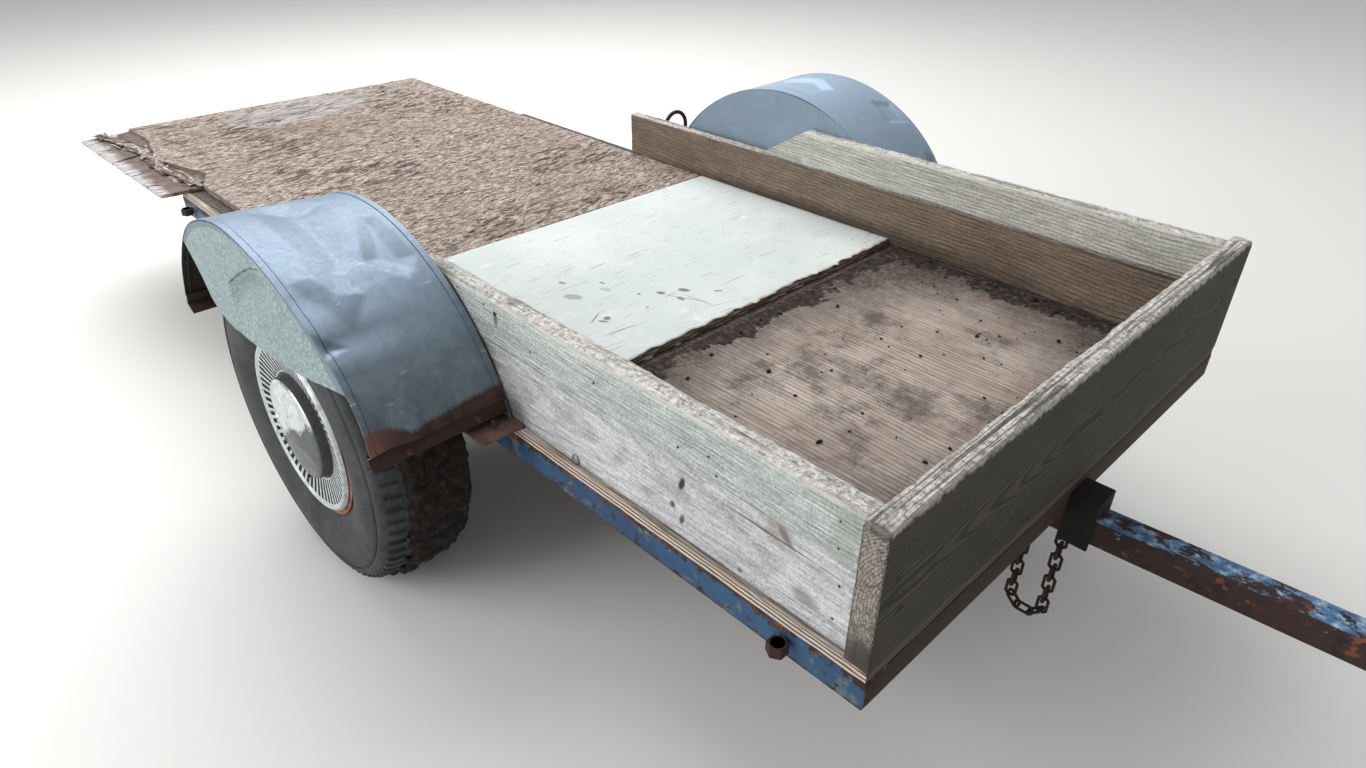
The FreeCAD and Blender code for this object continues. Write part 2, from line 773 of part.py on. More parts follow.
def axle_clamp():
    """Two U-bolts over the axle and the plate under the spring, as one clamp."""
    pack_low = leaf_top - len(leaf_reaches) * leaf_thickness
    bolt_side = spring_width / 2 + u_bolt_gap + u_bolt_radius
    half = bolt_side + u_bolt_radius + clamp_margin
    bottom = box(axle_x - clamp_half_length, axle_x + clamp_half_length, spring_side - half,
                 spring_side + half, pack_low - clamp_plate, pack_low)
    leg_x = axle_tube_radius + u_bolt_radius
    shapes = [bottom]
    for side in (-1, 1):
        y = spring_side + side * bolt_side
        hoop = Part.makeTorus(leg_x, u_bolt_radius, point(axle_x, y, axle_z), Y_AXIS)
        reach = 2 * leg_x
        above = box(axle_x - reach, axle_x + reach, y - reach, y + reach, axle_z, axle_z + reach)
        shapes.append(hoop.common(above))
        for end in (-1, 1):
            x = axle_x + end * leg_x
            shapes.append(rod(point(x, y, pack_low - clamp_plate - u_bolt_tail), point(x, y, axle_z),
                              u_bolt_radius))
    return fused(shapes)


# Tongue, coupler and jack, on the tongue's own line

def tongue():
    half = tongue_side / 2
    tube = box(-tongue_rear, tongue_front, -half, half, -tongue_side, 0)
    bore = box(-tongue_rear - overshoot, tongue_front + overshoot, -half + tongue_wall, half - tongue_wall,
               -tongue_side + tongue_wall, -tongue_wall)
    return on_tongue(tube.cut(bore))


def tongue_envelope():
    half = tongue_side / 2
    return on_tongue(box(-tongue_rear, tongue_front, -half, half, -tongue_side, 0))


def tongue_bracket():
    half = tongue_side / 2 + tongue_bracket_wall
    low = rail_bottom - tongue_side - tongue_bracket_drop
    block = box(bed_front, bed_front + tongue_bracket_length, -half, half, low,
                rail_bottom + tongue_bracket_top)
    foot = box(bed_front - overshoot, bed_front + tongue_bracket_length + overshoot,
               -tongue_side / 2, tongue_side / 2, low - overshoot, rail_bottom - tongue_side / 2)
    return block.cut(tongue_envelope()).cut(foot)


def tongue_rear_cheeks():
    """Two plates from the first cross member down the tongue's sides."""
    face = bed_front - cross_places[0]
    cheeks = []
    for side in (-1, 1):
        inner = side * tongue_side / 2
        outer = inner + side * rear_cheek_wall
        cheeks.append(box(face, face + rear_cheek_length, inner, outer,
                          rail_bottom - tongue_side - rear_cheek_drop,
                          floor_bottom - rear_cheek_top_gap))
    return cheeks


def coupler():
    """A pressed socket on the tongue's end: a channel that narrows to a domed nose."""
    wall = coupler_wall
    half = tongue_side / 2
    ball_room = ball_radius + ball_gap
    shell = ball_room + wall
    nose_x = coupler_reach - shell
    low = coupler_lift - tongue_side
    roof = -coupler_roof
    start = tongue_front - coupler_sleeve
    sleeve = box(start, tongue_front + wall, -half - wall, half + wall, low, wall)
    neck = box(tongue_front, nose_x, -half - wall, half + wall, low, wall + roof / 2)
    nose = Part.makeCylinder(shell, ball_centre - low, point(nose_x, 0, low), Z_AXIS)
    crown = Part.makeSphere(shell, point(nose_x, 0, ball_centre))
    above = box(nose_x - shell, nose_x + shell, -shell, shell, ball_centre, wall)
    outside = sleeve.fuse(neck).fuse(nose).fuse(crown.common(above))
    room = box(start - overshoot, tongue_front, -half, half, low - overshoot, 0)
    ahead = box(tongue_front - overshoot, nose_x, -half + wall / 2, half - wall / 2, low - overshoot, roof)
    socket = Part.makeCylinder(ball_room, ball_centre - low + overshoot,
                               point(nose_x, 0, low - overshoot), Z_AXIS)
    dome = Part.makeSphere(ball_room, point(nose_x, 0, ball_centre))
    return on_tongue(outside.cut(room).cut(ahead).cut(socket).cut(dome))


def coupler_latch():
    """The lever on the coupler's top, on a short post."""
    start = tongue_front - latch_inset
    half = latch_width / 2
    base = coupler_wall + latch_post
    post = box(start, start + latch_post_length, -half, half, coupler_wall, base)
    lever = box(start - latch_tail, start - latch_tail + latch_length, -half, half,
                base, base + latch_thickness)
    return on_tongue(fused([post, lever]))


def jack_mount():
    """The plate, boss and swivel pin on the tongue's left side."""
    half = tongue_side / 2
    low = point(jack_x, half, jack_z)
    slab = on_tongue(box(jack_place - jack_mount_length / 2, jack_place + jack_mount_length / 2,
                         half, half + jack_plate, -tongue_side, 0))
    boss = Part.makeCylinder(jack_boss_radius, jack_plate + jack_boss, low, Y_AXIS)
    pin_length = jack_plate + jack_boss + jack_face_gap + jack_plate
    pin = Part.makeCylinder(jack_pin_radius, pin_length, low, Y_AXIS)
    return fused([slab, boss, pin])


jack_face_y = tongue_side / 2 + jack_plate + jack_boss + jack_face_gap
jack_tube_y = jack_face_y + jack_plate + jack_tube_radius


def jack_tube():
    """The outer tube with the round plate that turns on the swivel pin."""
    tube = rod(point(jack_x, jack_tube_y, jack_tube_bottom),
               point(jack_x, jack_tube_y, jack_tube_top), jack_tube_radius)
    disc = Part.makeCylinder(jack_plate_radius, jack_plate,
                             point(jack_x, jack_face_y, jack_z), Y_AXIS)
    web = box(jack_x - jack_web_half_width, jack_x + jack_web_half_width, jack_face_y, jack_tube_y,
              jack_z - jack_web_half_height, jack_z + jack_web_half_height)
    body = fused([tube, disc, web])
    hollow = rod(point(jack_x, jack_tube_y, jack_tube_bottom - overshoot),
                 point(jack_x, jack_tube_y, jack_tube_top - jack_cap), jack_tube_radius - jack_tube_wall)
    bore = Part.makeCylinder(jack_pin_radius + jack_pin_clearance, jack_plate + overshoot,
                             point(jack_x, jack_face_y - overshoot, jack_z), Y_AXIS)
    return body.cut(hollow).cut(bore)


def jack_leg():
    """The inner leg that the screw runs out, with its round foot."""
    foot = rod(point(jack_x, jack_tube_y, 0), point(jack_x, jack_tube_y, jack_foot_thickness),
               jack_foot_radius)
    leg_radius = jack_tube_radius - jack_tube_wall - jack_leg_gap
    leg = rod(point(jack_x, jack_tube_y, jack_foot_thickness),
              point(jack_x, jack_tube_y, jack_tube_bottom + jack_leg_overlap), leg_radius)
    return fused([foot, leg])


def jack_crank():
    top = jack_tube_top
    head = rod(point(jack_x, jack_tube_y, top), point(jack_x, jack_tube_y, top + crank_head),
               crank_head_radius)
    arm_z = top + crank_head / 2
    arm = rod(point(jack_x, jack_tube_y, arm_z), point(jack_x, jack_tube_y + crank_reach, arm_z),
              crank_radius)
    knob = rod(point(jack_x, jack_tube_y + crank_reach, arm_z - crank_knob_radius),
               point(jack_x, jack_tube_y + crank_reach, arm_z + crank_knob), crank_knob_radius)
    return fused([head, arm, knob])


# Small fittings

def tie_nut(place, side):
    """A big hexagon nut welded to the rail, its hole upright."""
    apothem = nut_flats / 2
    y_mid = side * (bed_side + apothem)
    z_low = rail_bottom + (rail_leg - nut_height) / 2
    x_mid = bed_front - place
    corner = apothem / math.cos(math.pi / 6)
    hexagon = [(x_mid + corner * math.cos(math.pi / 3 * k),
                y_mid + corner * math.sin(math.pi / 3 * k)) for k in range(6)]
    nut = plate(hexagon, z_low, z_low + nut_height)
    return nut.cut(Part.makeCylinder(nut_hole_radius, nut_height + 2 * overshoot,
                                     point(x_mid, y_mid, z_low - overshoot), Z_AXIS))


def rope_loop():
    """A bar welded upright to the left rail, bent outward over the top like a hook."""
    x = bed_front - loop_place
    y_foot = bed_side + loop_rod_radius
    y_mid = y_foot + loop_half_width
    y_tail = y_mid + loop_half_width
    bend_z = floor_top + loop_top - loop_half_width - loop_rod_radius
    hoop = Part.makeTorus(loop_half_width, loop_rod_radius, point(x, y_mid, bend_z), X_AXIS)
    reach = 2 * loop_half_width
    above = box(x - reach, x + reach, y_mid - reach, y_mid + reach, bend_z, bend_z + reach)
    leg = rod(point(x, y_foot, rail_bottom + loop_foot_rise), point(x, y_foot, bend_z),
              loop_rod_radius)
    tail = rod(point(x, y_tail, bend_z - loop_tail), point(x, y_tail, bend_z), loop_rod_radius)
    return fused([hoop.common(above), leg, tail])


def chain_link():
    """One faceted link about the origin, long way along X, flat in the XY plane."""
    end = link_inner_length / 2 + link_rod_radius
    side = link_inner_width / 2 + link_rod_radius
    cut = link_corner
    corners = [(end, cut - side), (end, side - cut), (end - cut, side), (cut - end, side),
               (-end, side - cut), (-end, cut - side), (cut - end, -side), (end - cut, -side)]
    spots = [point(x, y, 0) for x, y in corners]
    rings = []
    for index, spot in enumerate(spots):
        into = (spot - spots[index - 1]).normalize()
        out = (spots[(index + 1) % len(spots)] - spot).normalize()
        mitre = (Z_AXIS.cross(into) + Z_AXIS.cross(out)).normalize()
        stretch = link_rod_radius / mitre.dot(Z_AXIS.cross(out))
        steps = [2 * math.pi * k / link_facets for k in range(link_facets)]
        rings.append([spot + mitre * (stretch * math.cos(a)) + Z_AXIS * (link_rod_radius * math.sin(a))
                      for a in steps])
    faces = []
    for index, ring in enumerate(rings):
        other = rings[(index + 1) % len(rings)]
        for k in range(link_facets):
            after = (k + 1) % link_facets
            quad = [ring[k], ring[after], other[after], other[k], ring[k]]
            faces.append(Part.Face(Part.makePolygon(quad)))
    return Part.Solid(Part.makeShell(faces))


def joint_slack(bend):
    """How far short of its inner end a link meets the next, when the two stand at a bend."""
    across = (2 * link_rod_radius + chain_gap) / (2 * math.cos(math.radians(bend) / 2))
    return across - link_rod_radius + link_bend_slack * math.sin(math.radians(bend))


def safety_chain():
    """A chain that hangs in a U from two staples under the tongue."""
    headings = [-90.0] * chain_drop_links + [-45.0, 0.0, 45.0] + [90.0] * chain_drop_links
    bends = [0.0] + [abs(b - a) for a, b in zip(headings, headings[1:])] + [0.0]
    spot = point(0, 0, 0)
    placed = []
    template = chain_link()
    for index, heading in enumerate(headings):
        length = (link_inner_length - joint_slack(bends[index]) - joint_slack(bends[index + 1]))
        along = point(math.cos(math.radians(heading)), 0, math.sin(math.radians(heading)))
        placed.append((spot + along * (length / 2), heading, index % 2 == 1))
        spot = spot + along * length
    links = []
    for middle, heading, flat in placed:
        link = template.copy()
        if not flat:
            link.rotate(point(0, 0, 0), X_AXIS, 90)
        link.rotate(point(0, 0, 0), Y_AXIS, -heading)
        link.translate(point(bed_front - chain_place, 0, staple_z()) + middle)
        links.append(link)
    return links, spot.x


def staple_z():
    """The height at which the top link hangs on the staple's round bar."""
    return rail_bottom - tongue_side - staple_drop


def chain_staples(spread):
    """Bent rods welded under the tongue, one for each end of the chain."""
    staples = []
    for x in (bed_front - chain_place, bed_front - chain_place + spread):
        z = staple_z() - joint_slack(0) - link_rod_radius
        bar = rod(point(x, -staple_half, z), point(x, staple_half, z), link_rod_radius)
        legs = [rod(point(x, side * staple_half, z), point(x, side * staple_half, rail_bottom),
                    link_rod_radius) for side in (-1, 1)]
        ends = [Part.makeSphere(link_rod_radius, point(x, side * staple_half, z))
                for side in (-1, 1)]
        pieces = fused([bar] + legs + ends).cut(tongue_envelope()).Solids
        staples.append(min(pieces, key=lambda solid: solid.BoundBox.ZMin))
    return staples


trailer = {}
trailer.update(frame_pieces())
trailer.update(floor_pieces())
trailer.update(board_pieces())

for name, maker in (("fender_band", fender_band), ("fender_skirt", fender_skirt),
                    ("fender_inner_plate", fender_inner_plate), ("reflector", reflector)):
    trailer[name + "_left"], trailer[name + "_right"] = both_sides(maker())

for name, maker in (("fender_bracket", fender_bracket), ("fender_strap", fender_strap)):
    pairs = [both_sides(maker(end)) for end in (1, -1)]
    trailer[name + "s_left"] = [pair[0] for pair in pairs]
    trailer[name + "s_right"] = [pair[1] for pair in pairs]

trailer.update(wheel_pieces())
trailer["axle"] = axle()
trailer["spring_left"], trailer["spring_right"] = both_sides(leaf_spring())
front_hanger, rear_hanger, shackle_top, shackle_low = hangers()
trailer["spring_hangers"] = [*both_sides(front_hanger), *both_sides(rear_hanger)]
trailer["spring_shackles"] = list(both_sides(shackle(shackle_top, shackle_low)))
trailer["axle_clamps"] = list(both_sides(axle_clamp()))
trailer["tongue"] = tongue()
trailer["tongue_bracket"] = tongue_bracket()
trailer["tongue_rear_cheeks"] = [cheek.cut(tongue_envelope()) for cheek in tongue_rear_cheeks()]
trailer["safety_chain"], chain_spread = safety_chain()
trailer["chain_staples"] = chain_staples(chain_spread)
trailer["coupler"] = coupler()
trailer["coupler_latch"] = coupler_latch()
trailer["jack_mount"] = jack_mount()
trailer["jack_tube"] = jack_tube()
trailer["jack_leg"] = jack_leg()
trailer["jack_crank"] = jack_crank()
trailer["tie_nuts"] = [tie_nut(place, side) for place in nut_places for side in (-1, 1)]
trailer["rope_loop"] = rope_loop()

os.makedirs("parts", exist_ok=True)
for name, shape in trailer.items():
    save(name, shape)
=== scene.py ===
import json
import math
import random

import bmesh
import bpy
from mathutils import Matrix, Vector, noise


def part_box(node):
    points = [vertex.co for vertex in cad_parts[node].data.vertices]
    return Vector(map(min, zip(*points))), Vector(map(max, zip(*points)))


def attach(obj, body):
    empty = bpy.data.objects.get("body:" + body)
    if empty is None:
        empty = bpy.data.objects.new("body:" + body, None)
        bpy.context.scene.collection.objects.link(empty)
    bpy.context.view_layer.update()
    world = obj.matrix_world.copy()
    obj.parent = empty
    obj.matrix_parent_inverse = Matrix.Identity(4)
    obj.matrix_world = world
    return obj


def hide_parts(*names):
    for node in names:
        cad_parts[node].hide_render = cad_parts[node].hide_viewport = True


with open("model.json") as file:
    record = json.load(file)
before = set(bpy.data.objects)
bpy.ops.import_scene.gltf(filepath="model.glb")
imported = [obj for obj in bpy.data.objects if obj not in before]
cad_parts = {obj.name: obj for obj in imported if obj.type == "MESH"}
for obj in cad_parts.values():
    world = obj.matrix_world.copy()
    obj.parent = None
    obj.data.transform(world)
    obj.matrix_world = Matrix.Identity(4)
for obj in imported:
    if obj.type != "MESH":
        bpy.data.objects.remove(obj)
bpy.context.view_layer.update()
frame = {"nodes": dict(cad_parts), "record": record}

nodeBody = {}
for bodyName, bodyNodes in frame["record"]["behaviour"]["bodies"].items():
    nodeBody.update(dict.fromkeys(bodyNodes, bodyName))
print("frame loaded", len(frame["nodes"]), "nodes")


# Colours and the ways a finish is wired up

def linear(share):
    return share / 12.92 if share <= 0.04045 else ((share + 0.055) / 1.055) ** 2.4


def screen(*percents):  # a colour as seen on screen, in percents, made linear for the shader
    return tuple(linear(percent / 100) for percent in percents) + (1.0,)


def grey(level):
    return (level, level, level, 1.0)


class Finish:  # one material, with short ways to add the nodes that this object's surfaces need
    def __init__(self, name, roughness=0.6, metallic=0.0, colour=None):
        self.material = bpy.data.materials.new(name)
        self.material.use_nodes = True
        self.nodes = self.material.node_tree.nodes
        self.shader = self.nodes["Principled BSDF"]
        self.shader.inputs["Roughness"].default_value = roughness
        self.shader.inputs["Metallic"].default_value = metallic
        coordinates = self.nodes.new("ShaderNodeTexCoord")
        self.place = coordinates.outputs["Object"]
        self.facing = coordinates.outputs["Normal"]
        self.colour = colour  # what has been laid on so far

    def plug(self, socket, value):
        if isinstance(value, bpy.types.NodeSocket):
            self.material.node_tree.links.new(value, socket)
        elif value is not None:
            socket.default_value = value

    def add(self, kind, sockets, **settings):  # a node, its settings, then what goes into its sockets
        node = self.nodes.new("ShaderNode" + kind)
        for key, value in settings.items():
            setattr(node, key, value)
        for key, value in sockets.items():
            self.plug(node.inputs[key], value)
        return node

    def stretched(self, scale, shift=(0, 0, 0), turn=(0, 0, 0), at=None, way="POINT"):
        return self.add("Mapping", {"Vector": at or self.place, "Scale": scale, "Location": shift,
                                    "Rotation": turn}, vector_type=way).outputs["Vector"]

    def centred(self, centre, scale=(1, 1, 1), turn=(0, 0, 0), at=None):  # sizes are divided by scale
        return self.stretched(scale, centre, turn, at, "TEXTURE")

    def clouds(self, scale, detail=4.0, roughness=0.55, distortion=0.0, at=None, output="Fac"):
        return self.add("TexNoise", {"Vector": at or self.place, "Scale": scale, "Detail": detail,
                                     "Roughness": roughness, "Distortion": distortion}).outputs[output]

    def nudged(self, scale, amount, at=None):  # the place pushed about by slow noise, in metres
        push = self.clouds(scale, 3, 0.5, at=at, output="Color")
        return self.add("VectorMath", {0: push, 1: (amount, amount, amount), 2: at or self.place},
                        operation="MULTIPLY_ADD").outputs["Vector"]

    def cells(self, scale, feature="F1", output="Distance", at=None):
        return self.add("TexVoronoi", {"Vector": at or self.place, "Scale": scale},
                        feature=feature).outputs[output]

    def rings(self, gap, axis="X", kind="RINGS", wander=0.0, slow=0.05, at=None):  # gap in metres
        return self.add("TexWave", {"Vector": at or self.place, "Scale": math.pi / 10 / gap, "Distortion": wander,
                                    "Detail": 2.0, "Detail Scale": slow},
                        wave_type=kind, **{kind.lower() + "_direction": axis}).outputs["Fac"]

    def ramp(self, value, *stops):  # stops are (place, grey level or colour)
        node = self.add("ValToRGB", {"Fac": value})
        points = node.color_ramp.elements
        while len(points) < len(stops):
            points.new(0.5)
        for spot, (place, shade) in zip(points, sorted(stops, key=lambda stop: stop[0])):
            spot.position = place
            spot.color = shade if isinstance(shade, tuple) else grey(shade)
        return node.outputs["Color"]

    def patchy(self, scale, detail, roughness, low, high, most, at=None):  # none below low, most above high
        return self.ramp(self.clouds(scale, detail, roughness, at=at), (low, 0.0), (high, most))

    def mixed(self, share, first, second, way="MIX"):
        node = self.add("Mix", {"Factor": share, "A": first, "B": second}, data_type="RGBA", blend_type=way)
        return next(out for out in node.outputs if out.type == "RGBA")

    def over(self, share, shade, way="MIX"):  # lays a shade over the colour so far
        self.colour = self.mixed(share, self.colour, shade, way)

    def textured(self, share, value, *stops):  # makes the colour so far lighter and darker
        self.over(share, self.ramp(value, *stops), "OVERLAY")

    def calc(self, operation, *values):
        return self.add("Math", dict(enumerate(values)), operation=operation).outputs[0]

    def scaled(self, value, by, *plus):
        return self.calc("MULTIPLY_ADD" if plus else "MULTIPLY", value, by, *plus)

    def inverse(self, value):
        return self.calc("SUBTRACT", 1.0, value)

    def between(self, value, low, high):
        return self.scaled(self.calc("GREATER_THAN", value, low), self.calc("LESS_THAN", value, high))

    def along(self, axis, low, high, at=None):  # 0 at low, 1 at high, along an axis in metres
        split = self.add("SeparateXYZ", {0: at or self.place})
        return self.add("MapRange", {"Value": split.outputs["XYZ".index(axis)], "From Min": low,
                                     "From Max": high}).outputs["Result"]

    def facingAlong(self, axis, low, high, first, last):  # from first to last as the face turns that way
        return self.ramp(self.along(axis, low, high, self.facing), (0.0, first), (1.0, last))

    def near(self, centre, size, turn=(0, 0, 0), at=None):  # 0 in the middle, 1 at the size's edge
        return self.add("VectorMath", {0: self.centred(centre, size, turn, at)},
                        operation="LENGTH").outputs["Value"]

    def stain(self, away, fray, rag, low, high, strength, shade):  # a mark whose edge noise has frayed
        away = self.scaled(self.scaled(fray, rag, away), 0.5)
        self.over(self.ramp(away, (low, strength), (high, 0.0)), shade)

    def relief(self, height, depth, strength=1.0, below=None):  # depth in metres
        return self.add("Bump", {"Height": height, "Distance": depth, "Strength": strength,
                                 "Normal": below}).outputs["Normal"]

    def done(self, roughness=None, normal=None, metallic=None):
        for socket, value in (("Base Color", self.colour), ("Roughness", roughness), ("Normal", normal),
                              ("Metallic", metallic)):
            self.plug(self.shader.inputs[socket], value)
        return self.material


# The wheels' and fenders' own sizes, which their finishes follow too

wheelSizes = dict(x=-0.185, z=0.345, side=0.745)
fenderSizes = dict(centreX=-0.185, centreZ=0.313, radius=0.450, hem=0.012, hemRise=0.0012, wall=0.002, inner=0.603,
                   outer=0.867, steps=280, cell=0.005, skirtCell=0.007)


# Metal finishes

def rustFinish(name, dark, light, shine=screen(50, 30, 19)):
    rust = Finish(name)
    grains = rust.clouds(420.0, 5, 0.7)
    rust.colour = rust.ramp(rust.clouds(30.0, 6, 0.62), (0.35, dark), (0.56, light), (0.75, dark))
    rust.over(rust.ramp(grains, (0.42, 0.0), (0.62, 0.55)), shine)
    return rust.done(rust.ramp(grains, (0.3, 0.75), (0.7, 0.95)), rust.relief(grains, 0.0006, 0.8))


paintedSteel = dict(
    paint=screen(8, 23, 38), paintLight=screen(14, 33, 47), rust=screen(19, 13, 11),
    spot=screen(47, 28, 17), worn=screen(38, 43, 40), low=0.391, high=0.441)


def bluePaintFinish(name):  # flaking blue over rust, barest along the rail's two edges
    say = paintedSteel
    paint = Finish(name, colour=say["paint"])
    paint.over(paint.patchy(9.0, 5, 0.6, 0.40, 0.68, 0.75), say["paintLight"])
    paint.over(paint.patchy(26.0, 7, 0.7, 0.55, 0.62, 0.8), say["worn"])
    edge = paint.ramp(paint.along("Z", say["low"], say["high"]), (0.0, 0.16), (0.14, 0.02), (0.72, 0.01),
                      (1.0, 0.15))
    bare = paint.ramp(paint.calc("ADD", paint.clouds(38.0, 14, 0.78), edge), (0.578, 0.0), (0.592, 1.0))
    paint.over(bare, paint.mixed(paint.patchy(60.0, 6, 0.7, 0.50, 0.64, 1.0), say["rust"], say["spot"]))
    bumps = paint.relief(paint.clouds(300.0, 4, 0.6), 0.0004, 0.5, paint.relief(bare, 0.0005, -0.8))
    return paint.done(paint.mixed(bare, grey(0.55), grey(0.9)), bumps)


def tonguePaintFinish(name):  # rust red with a little blue left, most of it on the top face
    paint = Finish(name)
    paint.colour = paint.ramp(paint.clouds(16.0, 8, 0.7), (0.36, screen(9, 6.5, 6)),
                              (0.50, screen(22, 13.5, 11)), (0.63, screen(14, 10, 9)),
                              (0.72, screen(19, 20, 20)))
    paint.over(paint.patchy(45.0, 8, 0.7, 0.57, 0.62, 0.7), screen(50, 30, 22))
    flakes = paint.clouds(30.0, 12, 0.72, at=paint.stretched((0.6, 1.0, 1.0)))
    upward = paint.along("Z", 0.5, 0.9, at=paint.facing)
    keep = paint.ramp(paint.scaled(upward, 0.17, flakes), (0.645, 0.0), (0.66, 1.0))
    paint.over(keep, paint.ramp(paint.clouds(55.0, 6, 0.7), (0.38, screen(17, 32, 48)),
                                (0.52, screen(33, 48, 62)), (0.64, screen(64, 72, 79))))
    bumps = paint.relief(paint.clouds(260.0, 5, 0.65), 0.0006, 0.7, paint.relief(keep, 0.0006, 0.9))
    return paint.done(paint.mixed(keep, grey(0.8), grey(0.45)), bumps)


def zincFinish(name, base, worn):
    zinc = Finish(name, metallic=0.75, colour=base)
    spots = zinc.patchy(70.0, 8, 0.7, 0.62, 0.68, 0.8)
    grains = zinc.clouds(300.0, 4, 0.6)
    zinc.over(zinc.patchy(14.0, 6, 0.65, 0.4, 0.65, 0.8), worn)
    zinc.over(spots, screen(42, 27, 18))
    return zinc.done(zinc.ramp(grains, (0.3, 0.42), (0.7, 0.62)), zinc.relief(grains, 0.0002, 0.4),
                     zinc.scaled(spots, -0.7, 0.75))


sheetMetal = dict(
    base=screen(39, 44.5, 48), pale=screen(46, 52, 56.5), dull=screen(33, 38, 41),
    topTint=screen(52, 59, 67), primer=screen(16, 10, 9), primerLight=screen(29, 19, 17),
    primerTop=0.527, primerRise=0.022, skirtEdge=0.4485, farPaintedSheen=0.45)
skirtFold = ((-0.259, 0.647), (-0.216, 0.673), (-0.169, 0.699), (-0.128, 0.719), (-0.090, 0.733), (-0.067, 0.737))


def paleFlank(zinc, side):  # the outer skirt's own colour, with painted shade along its fold and a painted shadow under the fold on the near side
    zinc.colour = zinc.ramp(zinc.clouds(170.0, 9, 0.76), (0.35, screen(30, 37, 38)),
                            (0.50, screen(49, 56, 57)), (0.66, screen(70, 77, 77)))
    zinc.over(zinc.patchy(7.0, 5, 0.6, 0.45, 0.68, 0.5), screen(49, 56, 55))
    for (ax, az), (bx, bz) in zip(skirtFold, skirtFold[1:]) if side < 0 else ():
        turn = (0, -math.atan2(bz - az, bx - ax), 0)
        x, z = (ax + bx) / 2, (az + bz) / 2
        # painted shade along the crease
        line = zinc.near((x, -0.86, z), (math.hypot(bx - ax, bz - az) * 0.62, 0.1, 0.0026), turn)
        zinc.over(zinc.ramp(line, (0.5, 0.85), (1.0, 0.0)), screen(17, 20, 21))
        # painted shadow under the crease
        shadow = zinc.near((x, -0.86, z - 0.022), (0.045, 0.1, 0.020), turn)
        zinc.over(zinc.ramp(shadow, (0.2, 0.30), (1.0, 0.0)), screen(30, 35, 36))
    return zinc.colour


def fenderFinish(name, side):  # galvanised sheet: bluer on top from a painted sky reflection, primer along the front foot, paler flanks, and a painted sheen over the far one
    say = sheetMetal
    zinc = Finish(name)
    flankColour = paleFlank(zinc, side)
    zinc.colour = say["base"]
    zinc.over(zinc.patchy(5.0, 5, 0.6, 0.38, 0.66, 1.0), say["pale"])
    zinc.over(zinc.patchy(17.0, 8, 0.68, 0.48, 0.70, 0.65), say["dull"])
    # painted sky reflection: faces that turn upward are laid over with a pale blue
    zinc.over(zinc.facingAlong("Z", 0.62, 0.98, 0.0, 0.85), say["topTint"])
    spangle = zinc.add("SeparateColor", {0: zinc.cells(75.0, output="Color")})
    zinc.textured(0.08, spangle.outputs[0], (0.0, 0.1), (1.0, 0.95))
    brushed = zinc.stretched((1.0, 0.25, 1.0), turn=(0, 0.3, 0.4))
    zinc.over(zinc.patchy(60.0, 8, 0.75, 0.635, 0.66, 0.5, brushed), screen(74, 80, 85))
    zinc.over(zinc.patchy(70.0, 10, 0.75, 0.66, 0.70, 0.6), screen(40, 33, 28))
    centre = (fenderSizes["centreX"], 0, fenderSizes["centreZ"])
    inside = zinc.calc("LESS_THAN", zinc.near(centre, (1, 1000, 1)), say["skirtEdge"])
    flank = zinc.scaled(inside, zinc.along("Y", 0.5 * side, 0.8 * side, at=zinc.facing))
    zinc.over(flank, flankColour)
    if side > 0:
        # painted sheen: the far fender is laid over with a pale blue, as a lighter copy of the near one's finish
        zinc.over(say["farPaintedSheen"], screen(68, 77, 86))
    outward = zinc.ramp(zinc.along("Y", 0.79 * side, 0.855 * side), (0.0, 0.0), (1.0, 1.0))
    ragged = zinc.clouds(55.0, 7, 0.7, at=zinc.stretched((1, 1.6, 0.5)))
    height = zinc.scaled(ragged, -0.016, zinc.along("Z", 0.0, 1.0))
    height = zinc.scaled(outward, -say["primerRise"], height)
    low = zinc.ramp(zinc.calc("SUBTRACT", height, say["primerTop"] - 0.508), (0.4985, 1.0), (0.5015, 0.0))
    primed = zinc.scaled(zinc.scaled(low, zinc.along("X", -0.05, 0.0)), zinc.inverse(inside))
    brown = zinc.mixed(zinc.patchy(30.0, 6, 0.6, 0.42, 0.66, 0.9), say["primer"], say["primerLight"])
    zinc.over(primed, zinc.mixed(zinc.scaled(outward, 0.7), brown, screen(50, 36, 33)))
    grains = zinc.clouds(160.0, 5, 0.6)
    rough = zinc.mixed(primed, zinc.ramp(grains, (0.3, 0.42), (0.7, 0.58)), grey(0.8))
    metal = zinc.scaled(zinc.calc("SUBTRACT", 0.45, zinc.scaled(flank, 0.35)), zinc.inverse(primed))
    bumps = zinc.relief(zinc.clouds(9.0, 3, 0.5), 0.002, 0.25, zinc.relief(grains, 0.0003, 0.35))
    return zinc.done(rough, bumps, metal)


def underFinish(name):  # the inside of a fender: rust and old mud
    under = Finish(name)
    under.colour = under.ramp(under.clouds(12.0, 9, 0.7), (0.34, screen(7, 5.5, 5)),
                              (0.52, screen(14, 11, 9.5)), (0.70, screen(26, 21, 18)))
    return under.done(0.92, under.relief(under.clouds(90.0, 8, 0.7), 0.003, 0.9))


coverLook = dict(flutes=60, fluteIn=0.1195, fluteOut=0.1700, grooveIn=0.1066, grooveOut=0.1160,
                 bright=screen(83, 85, 86), rib=screen(78, 80, 81), dark=screen(27, 29, 29),
                 grimeAndShade=screen(6.5, 7, 7), pit=screen(33, 27, 22), hole=(-0.2119, 0.2066, 0.0090))


